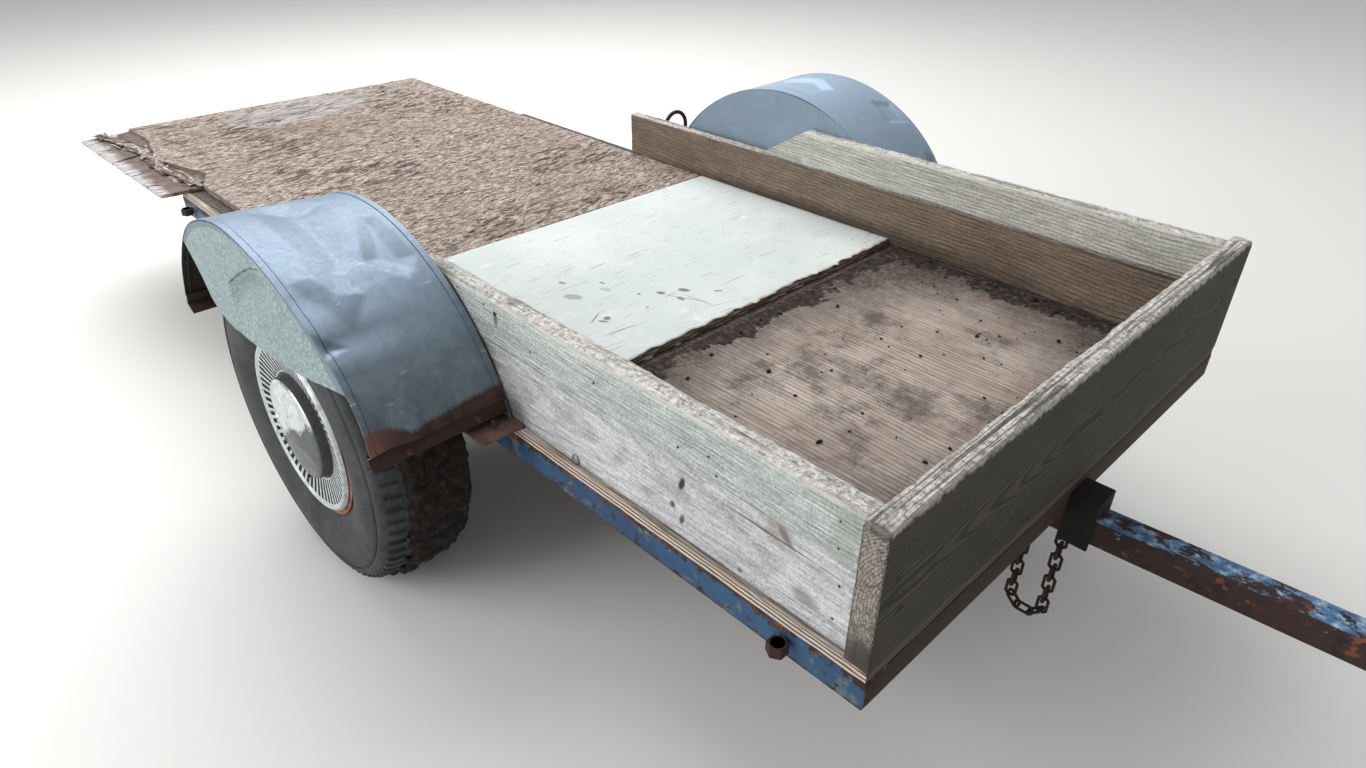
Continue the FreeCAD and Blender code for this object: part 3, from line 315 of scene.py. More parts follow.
def chromeFinish(name):  # bright plate, black with grime and painted shade in its flutes, the groove under the dome's step and the valve hole, and darker low down on the dome
    say = coverLook
    chrome = Finish(name, metallic=1.0)
    hub = (wheelSizes["x"], 0, wheelSizes["z"])
    radius = chrome.near(hub, (1, 1000, 1))
    dial = chrome.add("TexGradient", {"Vector": chrome.centred(hub, turn=(math.pi / 2, 0, 0))},
                      gradient_type="RADIAL")
    wave = chrome.calc("COSINE", chrome.scaled(dial.outputs["Fac"], math.tau * say["flutes"]))
    slots = chrome.ramp(chrome.scaled(wave, 0.5, 0.5), (0.54, 1.0), (0.68, 0.0))
    slots = chrome.scaled(slots, chrome.between(radius, say["fluteIn"], say["fluteOut"]))
    groove = chrome.scaled(chrome.between(radius, say["grooveIn"], say["grooveOut"]), 0.92)
    holeX, holeZ, holeRadius = say["hole"]
    hole = chrome.calc("LESS_THAN", chrome.near((holeX, 0, holeZ), (holeRadius, 1000, holeRadius)), 1.0)
    # grime and painted shade: black in the hollows between the flutes, in the groove that the dome's step shades, and
    # in the valve hole
    grimeAndShade = chrome.calc("MAXIMUM", chrome.calc("MAXIMUM", slots, groove), hole)
    drift = chrome.clouds(16.0, 6, 0.65)
    # the dome gets darker towards its lower front
    slope = chrome.calc("ADD", chrome.along("Z", 0.415, 0.27), chrome.scaled(chrome.along("X", -0.26, -0.11), 0.6))
    lowDomeDarkening = chrome.ramp(chrome.scaled(drift, 0.5, chrome.scaled(slope, 0.6)), (0.70, 0.0), (0.745, 0.9))
    lowDomeDarkening = chrome.scaled(lowDomeDarkening, chrome.calc("LESS_THAN", radius, say["grooveIn"]))
    plate = chrome.calc("GREATER_THAN", radius, say["grooveOut"])
    pits = chrome.patchy(95.0, 9, 0.75, 0.60, 0.67, 0.9)
    shade = chrome.ramp(chrome.clouds(42.0, 7, 0.7, 1.2), (0.40, 0.75), (0.56, 0.0))
    chrome.colour = chrome.mixed(plate, say["bright"], say["rib"])
    chrome.over(lowDomeDarkening, say["dark"])
    chrome.over(chrome.scaled(shade, 0.55), screen(45, 46, 46))
    chrome.over(pits, say["pit"])
    chrome.over(grimeAndShade, say["grimeAndShade"])
    dull = chrome.calc("MAXIMUM", pits, grimeAndShade)
    rough = chrome.scaled(dull, 0.45, chrome.ramp(drift, (0.35, 0.20), (0.68, 0.40)))
    metal = chrome.scaled(chrome.scaled(dull, -1.0, 1.0), chrome.scaled(plate, -0.45, 1.0))
    facets = chrome.relief(chrome.cells(34.0, "SMOOTH_F1", at=chrome.nudged(20.0, 0.03)), 0.0050, 0.5)
    bumps = chrome.relief(chrome.clouds(70.0, 4, 0.6), 0.0006, 0.3, facets)
    return chrome.done(chrome.scaled(plate, 0.20, rough), bumps, metal)


def rimFinish(name):
    rim = Finish(name)
    rim.colour = rim.ramp(rim.clouds(22.0, 8, 0.7), (0.33, screen(30, 17, 12)),
                          (0.50, screen(52, 31, 21)), (0.66, screen(66, 45, 33)),
                          (0.76, screen(38, 27, 21)))
    return rim.done(0.85, rim.relief(rim.clouds(200.0, 6, 0.7), 0.0008, 0.8))


def lensFinish(name):
    lens = Finish(name, 0.18, colour=screen(50, 5, 4))
    lens.over(lens.patchy(60.0, 6, 0.7, 0.45, 0.68, 0.7), screen(30, 12, 10))
    return lens.done(lens.ramp(lens.clouds(40.0), (0.4, 0.15), (0.7, 0.45)),
                     lens.relief(lens.cells(420.0), 0.0006, 0.6))


# Rubber and mud

def rubberFinish(name):  # dusty, and browner low down and on the tread
    rubber = Finish(name, colour=screen(14.5, 15.5, 16.5))
    rubber.over(rubber.patchy(14.0, 8, 0.68, 0.40, 0.72, 0.75), screen(29, 30, 30))
    radius = wheelSizes["z"]
    flat = rubber.stretched((1, 0, 1), (-wheelSizes["x"], 0, 0))
    edge = rubber.near((0, 0, radius), (radius, 9.0, radius), at=flat)
    low = rubber.scaled(rubber.clouds(30.0, 6, 0.7), 0.30, edge)
    rubber.over(rubber.ramp(low, (1.10, 0.0), (1.22, 0.75)), screen(31, 26, 22))
    grains = rubber.clouds(350.0, 5, 0.65)
    return rubber.done(rubber.ramp(grains, (0.3, 0.62), (0.7, 0.86)), rubber.relief(grains, 0.0004, 0.5))


def mudFinish(name, dark, light, clod):
    mud = Finish(name)
    mud.colour = mud.ramp(mud.clouds(65.0, 9, 0.7), (0.38, dark), (0.54, light), (0.66, clod))
    mud.over(mud.patchy(11.0, 5, 0.6, 0.45, 0.70, 0.7), dark)
    return mud.done(0.96, mud.relief(mud.clouds(200.0, 8, 0.78), 0.0045, 1.0))


# Wood finishes. Grain is cut from rings about a pith line, so faces and ends agree.

boardWoods = dict(  # top is the height above which a board's edge is frayed pale
    sage=dict(pith=(0, -0.50, 0.30), lean=(0, 0.03, 0.045), gap=0.0068, pale=screen(76, 77.5, 76.5),
              line=screen(56, 58, 55), tint=screen(67, 70, 68.5), tintShare=0.8, lines=0.38, top=0.689),
    silver=dict(pith=(0, -0.40, 0.575), lean=(0, 0.035, 0.03), gap=0.0052, pale=screen(79, 79, 79),
                line=screen(55, 54, 53), tint=screen(69, 69, 71), tintShare=0.8, lines=0.36),
    # weathered olive-grey wood, darkened as painted shade for the front board's face
    olivePaintedShade=dict(pith=(1.075, 0, 0.60), lean=(0.025, 0, 0.03), gap=0.0046, pale=screen(28, 26, 20.5),
               line=screen(8.5, 7, 5.5), tint=screen(20, 18.5, 14), tintShare=0.7, lines=0.85,
               top=0.695),
    muddy=dict(pith=(0, 0.75, 0.40), lean=(0, 0.02, 0.03), gap=0.0065, pale=screen(53, 46, 40),
               line=screen(33, 27, 23), tint=screen(44, 38, 33), tintShare=0.8, lines=0.5),
    mossy=dict(pith=(0, 0.72, 0.40), lean=(0, 0.03, 0.02), gap=0.0075, pale=screen(80, 80, 76),
               line=screen(55, 53, 48), tint=screen(71, 71, 67), tintShare=0.8, lines=0.45, top=0.689))
woodMarks = dict(  # centre, half sizes, turn about the face's axis, colour, strength
    sage=[((0.212, -0.598, 0.652), (0.010, 0.02, 0.020), 0.12, screen(36, 40, 30), 0.85),
          ((0.211, -0.598, 0.664), (0.007, 0.02, 0.008), 0.0, screen(6, 7, 5), 1.0),
          ((0.03, -0.598, 0.65), (0.10, 0.05, 0.10), 0.0, screen(36, 40, 33), 0.55),
          ((0.235, -0.572, 0.690), (0.026, 0.02, 0.03), 0.0, screen(36, 28, 23), 0.6),
          ((0.951, -0.598, 0.648), (0.030, 0.02, 0.09), 0.22, screen(55, 58, 53), 0.4)],
    silver=[((0.667, -0.598, 0.560), (0.008, 0.02, 0.019), 0.35, screen(20, 18, 18), 1.0),
            ((0.648, -0.598, 0.512), (0.008, 0.02, 0.010), 0.5, screen(24, 22, 22), 0.9),
            ((0.668, -0.598, 0.494), (0.007, 0.02, 0.015), 0.3, screen(24, 22, 21), 0.9),
            ((0.860, -0.598, 0.584), (0.009, 0.02, 0.032), -0.75, screen(34, 32, 30), 0.75),
            ((0.845, -0.598, 0.588), (0.036, 0.02, 0.034), -0.6, screen(50, 44, 40), 0.55),
            ((0.898, -0.598, 0.503), (0.034, 0.02, 0.018), 0.1, screen(48, 47, 47), 0.7),
            ((0.786, -0.598, 0.474), (0.006, 0.02, 0.006), 0.0, screen(25, 25, 25), 0.8),
            ((0.11, -0.598, 0.560), (0.13, 0.04, 0.10), 0.5, screen(17, 13, 12), 0.85),
            ((0.24, -0.598, 0.480), (0.06, 0.04, 0.05), 0.0, screen(30, 26, 24), 0.6)],
    olivePaintedShade=[((1.015, -0.307, 0.607), (0.02, 0.040, 0.012), 0.0, screen(20, 18, 15), 0.7),
           ((1.015, -0.575, 0.602), (0.02, 0.010, 0.007), 0.0, screen(9, 8, 7), 1.0),
           ((1.015, -0.560, 0.540), (0.02, 0.016, 0.007), 0.0, screen(9, 8, 7), 0.95),
           ((1.0, -0.61, 0.485), (0.03, 0.03, 0.034), 0.0, screen(20, 18, 16), 0.75),
           ((1.0, -0.61, 0.690), (0.03, 0.012, 0.016), 0.0, screen(20, 17, 14), 0.7)],
    muddy=[((0.0, 0.56, 0.47), (0.95, 0.02, 0.05), 0.0, screen(22, 17, 14), 0.7)],
    mossy=[])


def bleachedTop(wood, fibres, broad, speckle):  # a board's top face, grey with black lichen
    wood.colour = wood.ramp(speckle, (0.36, screen(40, 37, 35)), (0.50, screen(73, 71, 69)),
                            (0.64, screen(90, 89, 87)))
    wood.textured(0.6, fibres, (0.36, 0.15), (0.5, 0.5), (0.64, 0.85))
    wood.over(wood.ramp(broad, (0.56, 0.0), (0.63, 0.8)), screen(15, 12, 11))
    return wood.colour


def sawnEnds(wood, dust, lines):  # paler than the board's face, which is darkened as painted shade
    wood.colour = wood.ramp(dust, (0.38, screen(36, 33, 30)), (0.60, screen(68, 65, 61)))
    wood.over(wood.scaled(lines, 0.45), screen(30, 27, 24))
    wood.over(wood.ramp(wood.along("Z", 0.47, 0.54), (0.0, 0.8), (1.0, 0.0)), screen(25, 22, 20))
    return wood.colour


def woodFinish(name, kind, axis):  # axis is the board's long one
    say = boardWoods[kind]
    wood = Finish(name)

    def drawn(ahead, across):  # a pattern of this scale along the board and across it
        return wood.stretched(tuple(ahead if name == axis else across for name in "XYZ"))

    heart = wood.centred(say["pith"], turn=say["lean"])
    grain = wood.rings(say["gap"], axis, wander=2.5, slow=0.02, at=wood.nudged(2.6, 0.035, heart))
    lines = wood.ramp(grain, (0.0, 1.0), (0.22, 0.55), (0.5, 0.0))
    fibres = wood.clouds(1.0, 7, 0.70, 0.2, drawn(14.0, 420.0))
    broad = wood.clouds(1.0, 5, 0.6, 0.3, drawn(2.5, 60.0))
    dust = wood.clouds(260.0, 4, 0.7)
    speckle = wood.clouds(120.0, 8, 0.75)
    topColour = bleachedTop(wood, fibres, broad, speckle)
    endColour = sawnEnds(wood, dust, lines) if kind == "olivePaintedShade" else None
    wood.colour = say["pale"]
    wood.over(wood.patchy(4.0, 4, 0.6, 0.36, 0.62, say["tintShare"]), say["tint"])
    wood.over(wood.scaled(lines, say["lines"]), say["line"])
    wood.textured(0.28, broad, (0.30, 0.25), (0.5, 0.5), (0.72, 0.75))
    wood.textured(0.60, fibres, (0.34, 0.12), (0.5, 0.5), (0.66, 0.88))
    wood.textured(0.40, dust, (0.36, 0.15), (0.5, 0.5), (0.64, 0.85))
    wood.over(wood.patchy(9.0, 12, 0.78, 0.53, 0.66, 0.5, drawn(0.35, 1.0)), say["line"])
    splits = wood.ramp(wood.clouds(1.0, 6, 0.6, 0.1, drawn(2.0, 170.0)), (0.655, 0.0), (0.68, 0.8))
    wood.over(splits, screen(19, 16, 14))
    upward = wood.along("Z", 0.55, 0.95, at=wood.facing)
    wood.over(wood.scaled(upward, 0.9), topColour)
    if endColour:
        ahead = wood.near((0, 0, 0), (1000, 1, 1000), at=wood.facing)
        wood.over(wood.ramp(ahead, (0.6, 0.0), (0.9, 0.9)), endColour)
    if "top" in say:
        rag = wood.scaled(wood.clouds(60.0, 8, 0.7), 0.030, wood.along("Z", 0.0, 1.0))
        edge = wood.ramp(wood.calc("SUBTRACT", rag, say["top"] - 0.5), (0.505, 0.0), (0.512, 0.85))
        wood.over(wood.scaled(edge, wood.inverse(upward)), screen(80, 79, 76))
    fray = wood.clouds(45.0, 6, 0.7)
    for centre, size, turn, shade, strength in woodMarks[kind]:
        spin = (0, turn, 0) if axis == "X" else (turn, 0, 0)
        wood.stain(wood.near(centre, size, spin), fray, 0.7, 0.38, 0.62, strength, shade)
    bumps = wood.relief(fibres, 0.0012, 0.7, wood.relief(lines, 0.0012, 0.6))
    bumps = wood.relief(splits, 0.004, -0.9, wood.relief(speckle, 0.0010, 0.6, bumps))
    return wood.done(wood.ramp(fibres, (0.3, 0.72), (0.7, 0.92)), bumps)


plySizes = dict(layers=5, floorLow=0.441, sheetLow=0.460, thickness=0.019, sheetTop=0.479)


def plyEdge(wood, low, share, shade, upright=(0.5, 0.85)):  # lays a sheet's sawn edge over its sides
    outside = wood.colour
    strip = wood.rings(2 * plySizes["thickness"] / plySizes["layers"], "Z", "BANDS", 1.2, 0.15,
                       at=wood.centred((0, 0, low)))
    wood.colour = wood.ramp(strip, (0.12, screen(33, 27, 24)), (0.45, screen(62, 56, 51)),
                            (0.85, screen(80, 75, 70)))
    wood.textured(0.5, wood.clouds(1.0, 5, 0.65, at=wood.stretched((10.0, 10.0, 500.0))), (0.3, 0.2), (0.7, 0.85))
    wood.over(share, shade)
    side = wood.facingAlong("Z", *upright, 1.0, 0.0)
    wood.colour = wood.mixed(side, outside, wood.colour)
    return side, strip


def floorFinish(name):  # plywood worn to stripes along the bed, soil rubbed into it, drifted soil that is also painted shade along its edges, and painted shade on its forward sawn edge
    floor = Finish(name, colour=screen(73, 68, 64))
    stripes = floor.rings(0.0105, "Y", "BANDS", 5.0, 0.05,
                          at=floor.nudged(6.0, 0.05, floor.stretched((0.25, 1.0, 1.0))))
    fine = floor.clouds(1.0, 6, 0.66, 0.2, floor.stretched((10.0, 230.0, 60.0)))
    grains = floor.clouds(240.0, 7, 0.75)
    floor.over(floor.patchy(5.0, 5, 0.6, 0.36, 0.66, 0.9), screen(59, 53, 49))
    floor.over(floor.ramp(stripes, (0.05, 0.5), (0.30, 0.0)), screen(36, 30, 27))
    floor.textured(0.6, fine, (0.3, 0.18), (0.5, 0.5), (0.7, 0.85))
    # soil drifts deepest towards the floor's edges, by the panel and the boards; there the dark soil also stands in as
    # painted shade
    rim = floor.scaled(floor.near((0.62, 0, 0.46), (0.33, 0.50, 9.0)), 0.5)
    drift = floor.ramp(floor.scaled(floor.clouds(13.0, 12, 0.80), 0.45, rim), (0.52, 0.0), (0.78, 1.0))
    drift = floor.scaled(drift, floor.ramp(floor.clouds(95.0, 8, 0.8), (0.30, 0.55), (0.56, 1.0)))
    soil = floor.calc("MAXIMUM", floor.patchy(8.0, 14, 0.80, 0.49, 0.62, 0.75), drift)
    floor.over(soil, floor.ramp(grains, (0.38, screen(13, 10.5, 9.5)), (0.60, screen(33, 28.5, 26))))
    ledge = floor.calc("MAXIMUM", floor.along("Y", -0.5978, -0.5986), floor.along("X", 1.0150, 1.0158))
    floor.over(ledge, floor.ramp(fine, (0.34, screen(33, 28, 25)), (0.50, screen(62, 57, 52)),
                                 (0.66, screen(80, 76, 72))))
    # painted shade: the sawn edges that face forward are darkened
    ahead = floor.facingAlong("X", 0.6, 0.9, 0.0, 0.8)
    _, strip = plyEdge(floor, plySizes["floorLow"], ahead, screen(13, 10.5, 9), (0.6, 0.9))
    upper = floor.relief(fine, 0.0015, 0.7, floor.relief(stripes, 0.002, 0.6))
    return floor.done(0.92, floor.relief(grains, 0.001, 0.6, floor.relief(strip, 0.001, 0.5, upper)))


deckCracks = [((-2.103, -0.560), (-2.098, -0.440), 0.006), ((-1.842, -0.572), (-1.872, -0.300), 0.005),
              ((-1.700, -0.560), (-1.655, -0.430), 0.004), ((-2.060, -0.380), (-2.030, -0.140), 0.003),
              ((-1.520, -0.572), (-1.500, -0.470), 0.004), ((-1.950, -0.500), (-1.760, -0.455), 0.004),
              ((-1.300, -0.560), (-1.330, -0.430), 0.003), ((-0.900, 0.200), (-0.870, 0.420), 0.003),
              ((-1.600, 0.180), (-1.630, 0.470), 0.003), ((-1.150, -0.200), (-1.170, 0.050), 0.0025)]
flapCracks = [((-2.100, -0.684), (-2.104, -0.540), 0.009), ((-1.792, -0.686), (-1.842, -0.540), 0.011),
              ((-1.960, -0.684), (-1.945, -0.620), 0.004), ((-1.620, -0.684), (-1.640, -0.600), 0.005),
              ((-2.060, -0.622), (-1.845, -0.590), 0.009), ((-1.830, -0.592), (-1.600, -0.604), 0.008),
              ((-1.590, -0.604), (-1.420, -0.580), 0.008), ((-1.500, -0.686), (-1.480, -0.640), 0.006)]


def paintedSplitShade(wood, cracks):  # painted shade inside each split
    fray = wood.clouds(70.0, 6, 0.7)
    for (startX, startY), (endX, endY), width in cracks:
        runX, runY = endX - startX, endY - startY
        away = wood.near(((startX + endX) / 2, (startY + endY) / 2, 0.475),
                         (width * 1.05, math.hypot(runX, runY) * 0.58, 0.05),
                         (0, 0, math.atan2(runY, runX) - math.pi / 2))
        wood.stain(away, fray, 1.1, 0.52, 0.72, 0.95, screen(10, 7.5, 6))


def deckFinish(name, dark=screen(22, 17, 14)):  # old sheet of strands, furred and split
    deck = Finish(name)
    swirl = deck.nudged(11.0, 0.030)
    strands = deck.clouds(1.0, 8, 0.72, 0.5, deck.stretched((190.0, 46.0, 150.0), turn=(0, 0, 0.25), at=swirl))
    cross = deck.clouds(1.0, 6, 0.66, 0.8, deck.stretched((100.0, 42.0, 90.0), turn=(0, 0, -0.5), at=swirl))
    deck.colour = deck.ramp(strands, (0.38, dark), (0.47, screen(52, 46, 42)),
                            (0.56, screen(73, 68, 64)), (0.66, screen(89, 86, 83)))
    deck.textured(0.5, deck.clouds(330.0, 4, 0.7), (0.36, 0.15), (0.5, 0.5), (0.64, 0.85))
    deck.over(deck.ramp(cross, (0.36, 0.85), (0.43, 0.0)), screen(18, 13.5, 11))
    paintedSplitShade(deck, deckCracks)
    deck.over(deck.patchy(3.2, 6, 0.62, 0.45, 0.68, 0.5), screen(52, 44, 39))
    veneer = deck.near((-1.97, -0.02, plySizes["sheetTop"]), (0.19, 0.34, 0.2), (0, 0, 0.1))
    greyed = deck.ramp(deck.clouds(1.0, 5, 0.6, 0.3, deck.stretched((120.0, 9.0, 9.0))),
                       (0.35, screen(50, 47, 46)), (0.6, screen(72, 70, 69)))
    deck.stain(veneer, deck.clouds(14.0, 8, 0.7), 0.9, 0.56, 0.64, 0.85, greyed)
    _, strip = plyEdge(deck, plySizes["sheetLow"], 0.45, dark)
    fine = deck.relief(strands, 0.0016, 0.7, deck.relief(cross, 0.0016, 0.5))
    return deck.done(0.93, deck.relief(strip, 0.001, 0.4, fine))


def bleachedFinish(name):  # the strips that split off the deck's near edge
    flap = Finish(name)
    fibres = flap.clouds(1.0, 7, 0.70, 0.4, flap.stretched((210.0, 16.0, 120.0), turn=(0, 0, 0.12)))
    flap.colour = flap.ramp(fibres, (0.34, screen(30, 26, 25)), (0.46, screen(66, 63, 63)),
                            (0.62, screen(88, 86.5, 88)))
    inner = flap.scaled(flap.clouds(22.0, 7, 0.7), 0.9, flap.along("Y", -0.69, -0.60))
    flap.over(flap.ramp(inner, (0.72, 0.0), (1.0, 0.9)),
              flap.ramp(fibres, (0.38, screen(15, 10.5, 8.5)), (0.60, screen(50, 42, 36))))
    paintedSplitShade(flap, flapCracks)
    return flap.done(0.9, flap.relief(fibres, 0.002, 0.9))


panelMarks = dict(  # centre x, y, half sizes, turn, strength: plain stains and scuffs on the painted panel
    stain=[(-0.051, -0.237, 0.024, 0.014, 0.5, 0.55), (0.069, -0.081, 0.012, 0.008, 0.3, 0.9),
           (0.094, -0.033, 0.016, 0.009, 0.4, 0.9), (0.120, -0.068, 0.013, 0.007, 0.0, 0.8),
           (0.078, -0.247, 0.009, 0.009, 0.0, 0.9), (0.084, -0.262, 0.013, 0.005, 0.6, 0.8),
           (0.039, -0.120, 0.005, 0.004, 0.0, 1.0), (-0.062, -0.144, 0.009, 0.004, 0.2, 0.85),
           (-0.125, -0.210, 0.010, 0.005, 0.4, 0.85), (-0.03, -0.16, 0.016, 0.008, 0.3, 0.35),
           (0.150, 0.020, 0.012, 0.004, 0.9, 0.8), (0.10, -0.15, 0.004, 0.004, 0.0, 0.8)],
    stroke=[(0.060, -0.265, 0.030, 0.0022, -1.05, 0.8), (0.130, -0.058, 0.060, 0.0016, 0.45, 0.8),
            (0.150, -0.045, 0.055, 0.0014, 0.10, 0.7), (0.138, -0.262, 0.048, 0.0030, 1.45, 0.55),
            (0.200, -0.02, 0.05, 0.0014, 1.3, 0.5)])


def mintFinish(name):  # pale paint on plywood, checked along the grain and rubbed through at the edges
    mint = Finish(name, colour=screen(77.5, 81, 80))
    mint.over(mint.patchy(3.0, 5, 0.6, 0.38, 0.64, 1.0), screen(83, 85, 84))
    mint.over(mint.patchy(22.0, 9, 0.72, 0.56, 0.72, 0.35), screen(62, 64, 58))
    checks = mint.clouds(1.0, 7, 0.66, 0.1, mint.stretched((250.0, 9.0, 40.0), turn=(0, 0, 0.05)))
    thin = mint.ramp(checks, (0.625, 0.0), (0.65, 0.8))
    mint.over(thin, screen(40, 41, 38))
    mint.over(mint.patchy(30.0, 10, 0.75, 0.60, 0.66, 0.8, mint.stretched((1.0, 0.4, 1.0))),
              screen(89, 90, 88))
    fray = mint.clouds(90.0, 5, 0.6)
    for kind, marks in panelMarks.items():
        for x, y, halfX, halfY, turn, strength in marks:
            away = mint.near((x, y, plySizes["sheetTop"]), (halfX, halfY, 0.05), (0, 0, turn))
            if kind == "stain":
                mint.stain(away, fray, 0.5, 0.52, 0.62, strength, screen(36, 39, 38))
            else:
                mint.over(mint.ramp(away, (0.7, strength), (1.0, 0.0)), screen(34, 37, 36))
    rub = mint.scaled(mint.clouds(40.0, 9, 0.72), 0.05, mint.along("X", 0.0, 1.0))
    mint.over(mint.ramp(rub, (0.262, 0.0), (0.270, 1.0)), screen(70, 62, 50))
    side, strip = plyEdge(mint, plySizes["sheetLow"], 0.5, screen(25, 18, 13))
    bumps = mint.relief(thin, 0.0012, -0.8, mint.relief(mint.clouds(150.0, 6, 0.65), 0.0006, 0.5))
    return mint.done(mint.mixed(side, grey(0.6), grey(0.92)), mint.relief(strip, 0.0012, 0.5, bumps))


finishes = {
    "blue_steel": bluePaintFinish("flakingBluePaint"),
    "galvanised": fenderFinish("galvanisedNear", -1),
    # the far fender's finish, made lighter by a painted sheen
    "galvanisedFarPaintedSheen": fenderFinish("galvanisedFarPaintedSheen", 1),
    "underside": underFinish("rustyUnderside"),
    "brown_steel": rustFinish("brownRust", screen(20, 13, 11), screen(33, 20, 15)),
    # dark rust, made darker still so that it also stands in as painted shade, as on the front rail
    "dark_steel": rustFinish("darkRustAndPaintedShade", screen(7, 5.5, 5), screen(15, 10, 8.5),
                             screen(33, 20, 14)),
    "black_steel": rustFinish("blackRust", screen(1.2, 1.2, 1.2), screen(3, 2.7, 2.6),
                              screen(7, 5, 4.5)),
    "strap_steel": rustFinish("pinkRust", screen(28, 20, 18), screen(41, 32, 29.5),
                              screen(42, 31, 27)),
    "chain_steel": rustFinish("chainRust", screen(7, 5, 4.5), screen(14, 10, 8),
                              screen(27, 18, 14)),
    "rim_steel": rimFinish("rimRust"),
    "cover_chrome": chromeFinish("coverChrome"),
    "tongue_paint": tonguePaintFinish("tonguePaint"),
    "zinc_steel": zincFinish("dullZinc", screen(52, 54, 55), screen(44, 45, 45)),
    "tyre_rubber": rubberFinish("tyreRubber"),
    "mud": mudFinish("tyreMud", screen(3.5, 2.6, 2.1), screen(14, 10, 7.5), screen(30, 23, 18)),
    "clods": mudFinish("mudClods", screen(8, 5.8, 4.5), screen(20, 15, 11.5),
                       screen(34, 26, 20)),
    "soil": mudFinish("bedSoil", screen(11, 9, 8), screen(25, 21, 19), screen(46, 40, 36)),
    "red_lens": lensFinish("redLens"),
    "floor_ply": floorFinish("floorPly"),
    "weathered_ply": deckFinish("weatheredPly"),
    "bleached_ply": bleachedFinish("bleachedPly"),
    "rotten_ply": rustFinish("rottenPly", screen(17, 12, 9.5), screen(40, 32, 27),
                             screen(58, 50, 44)),
    "mint_paint": mintFinish("mintPaint"),
    "plank": woodFinish("sagePlank", "sage", "X"),
    "silverPlank": woodFinish("silverPlank", "silver", "X"),
    "olivePlankPaintedShade": woodFinish("olivePlankPaintedShade", "olivePaintedShade", "Y"),
    "muddyPlank": woodFinish("muddyPlank", "muddy", "X"),
    "mossyPlank": woodFinish("mossyPlank", "mossy", "X"),
}
nodeSlot = {row["node"]: row["material_slot"] for row in frame["record"]["subparts"]}
for name, slot in nodeSlot.items():
    frame["nodes"][name].data.materials.clear()
    frame["nodes"][name].data.materials.append(finishes[slot])
print("finishes set", len(finishes))


# Ways to take a CAD node's shape, cut it finer and put it in its place

def nodeCopy(name):  # merged, with its flat faces whole again
    shape = bmesh.new()
    shape.from_mesh(frame["nodes"][name].data)
    bmesh.ops.remove_doubles(shape, verts=shape.verts[:], dist=0.00002)
    bmesh.ops.dissolve_limit(shape, angle_limit=math.radians(0.5), verts=shape.verts[:], edges=shape.edges[:])
    return shape


def corners(name):
    return tuple(Vector(corner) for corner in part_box(name))


def sideName(side):
    return "right" if side < 0 else "left"


def putPiece(shape, name, finish, body="trailer", stands=(), sharp=35.0):
    mesh = bpy.data.meshes.new(name)
    shape.to_mesh(mesh)
    shape.free()
    mesh.materials.append(finishes[finish])
    mesh.shade_smooth()
    mesh.set_sharp_from_angle(angle=math.radians(sharp))
    piece = bpy.data.objects.new(name, mesh)
    bpy.context.scene.collection.objects.link(piece)
    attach(piece, body)
    if stands:
        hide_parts(*stands)
    return piece


def softEdges(shape, width, angle=math.radians(25.0)):
    hard = [edge for edge in shape.edges if edge.is_manifold and edge.calc_face_angle(0.0) > angle]
    bmesh.ops.bevel(shape, geom=hard, affect="EDGES", offset=width, offset_type="OFFSET", segments=2,
                    profile=0.5, material=-1, clamp_overlap=True)
    return shape


def gridCut(shape, steps):  # divides a box-like shape into cells of these sizes along X, Y and Z
    for axis, step in enumerate(steps):
        if not step:
            continue
        groups = {}
        for edge in shape.edges:
            run = edge.verts[1].co - edge.verts[0].co
            if run.length > 1.5 * step and abs(run[axis]) > 0.9 * run.length:
                groups.setdefault(round(run.length / step), []).append(edge)
        for count, edges in groups.items():
            bmesh.ops.subdivide_edges(shape, edges=edges, cuts=count - 1, use_grid_fill=True)
    return shape


def planeCut(shape, axis, places):  # cuts right through, square to an axis, at each place
    away = Vector([float(index == axis) for index in range(3)])
    for place in places:
        bmesh.ops.bisect_plane(shape, geom=shape.verts[:] + shape.edges[:] + shape.faces[:],
                               plane_co=away * place, plane_no=away, dist=0.00001)
    return shape


def spread(low, high, step):  # even places between two ends, about a step apart
    count = max(int((high - low) / step), 1)
    return [low + (high - low) * (index + 0.5) / count for index in range(count)]


crackSizes = dict(around=0.02, skin=0.012, lip=0.004)  # how near to a split the top is cut, and its flat part


def crack(shape, start, end, width, depth):  # a split cut into a top face and opened
    say = crackSizes
    start, end, outward = Vector(start), Vector(end), Vector((0, 0, 1))
    length = (end - start).length
    ahead = (end - start) / length
    aside = outward.cross(ahead)

    def spot(place):
        off = place - start
        return off.dot(ahead), off.dot(aside), off.dot(outward)

    def close(face):
        on, side, out = spot(face.calc_center_median())
        return (-say["around"] < on < length + say["around"] and abs(side) < say["around"]
                and abs(out) < say["skin"])

    for shift in (-width / 2, 0.0, width / 2):
        faces = [face for face in shape.faces if face.normal.dot(outward) >= 0.6 and close(face)]
        edges = {edge for face in faces for edge in face.edges}
        verts = {vert for face in faces for vert in face.verts}
        bmesh.ops.bisect_plane(shape, geom=list(verts) + list(edges) + faces, plane_co=start + aside * shift,
                               plane_no=aside, dist=0.00001)
    for vert in shape.verts:
        on, side, out = spot(vert.co)
        if 0 < on < length and abs(side) < width * 0.1 and abs(out) < say["lip"]:
            vert.co -= outward * depth * math.sin(math.pi * on / length) ** 0.4
    return shape


def wobble(place, scale, seed):  # about -1 to 1
    return noise.noise(Vector(place) * scale + Vector((seed, seed * 1.7, -seed)))


# Steel sections get their rolled corners

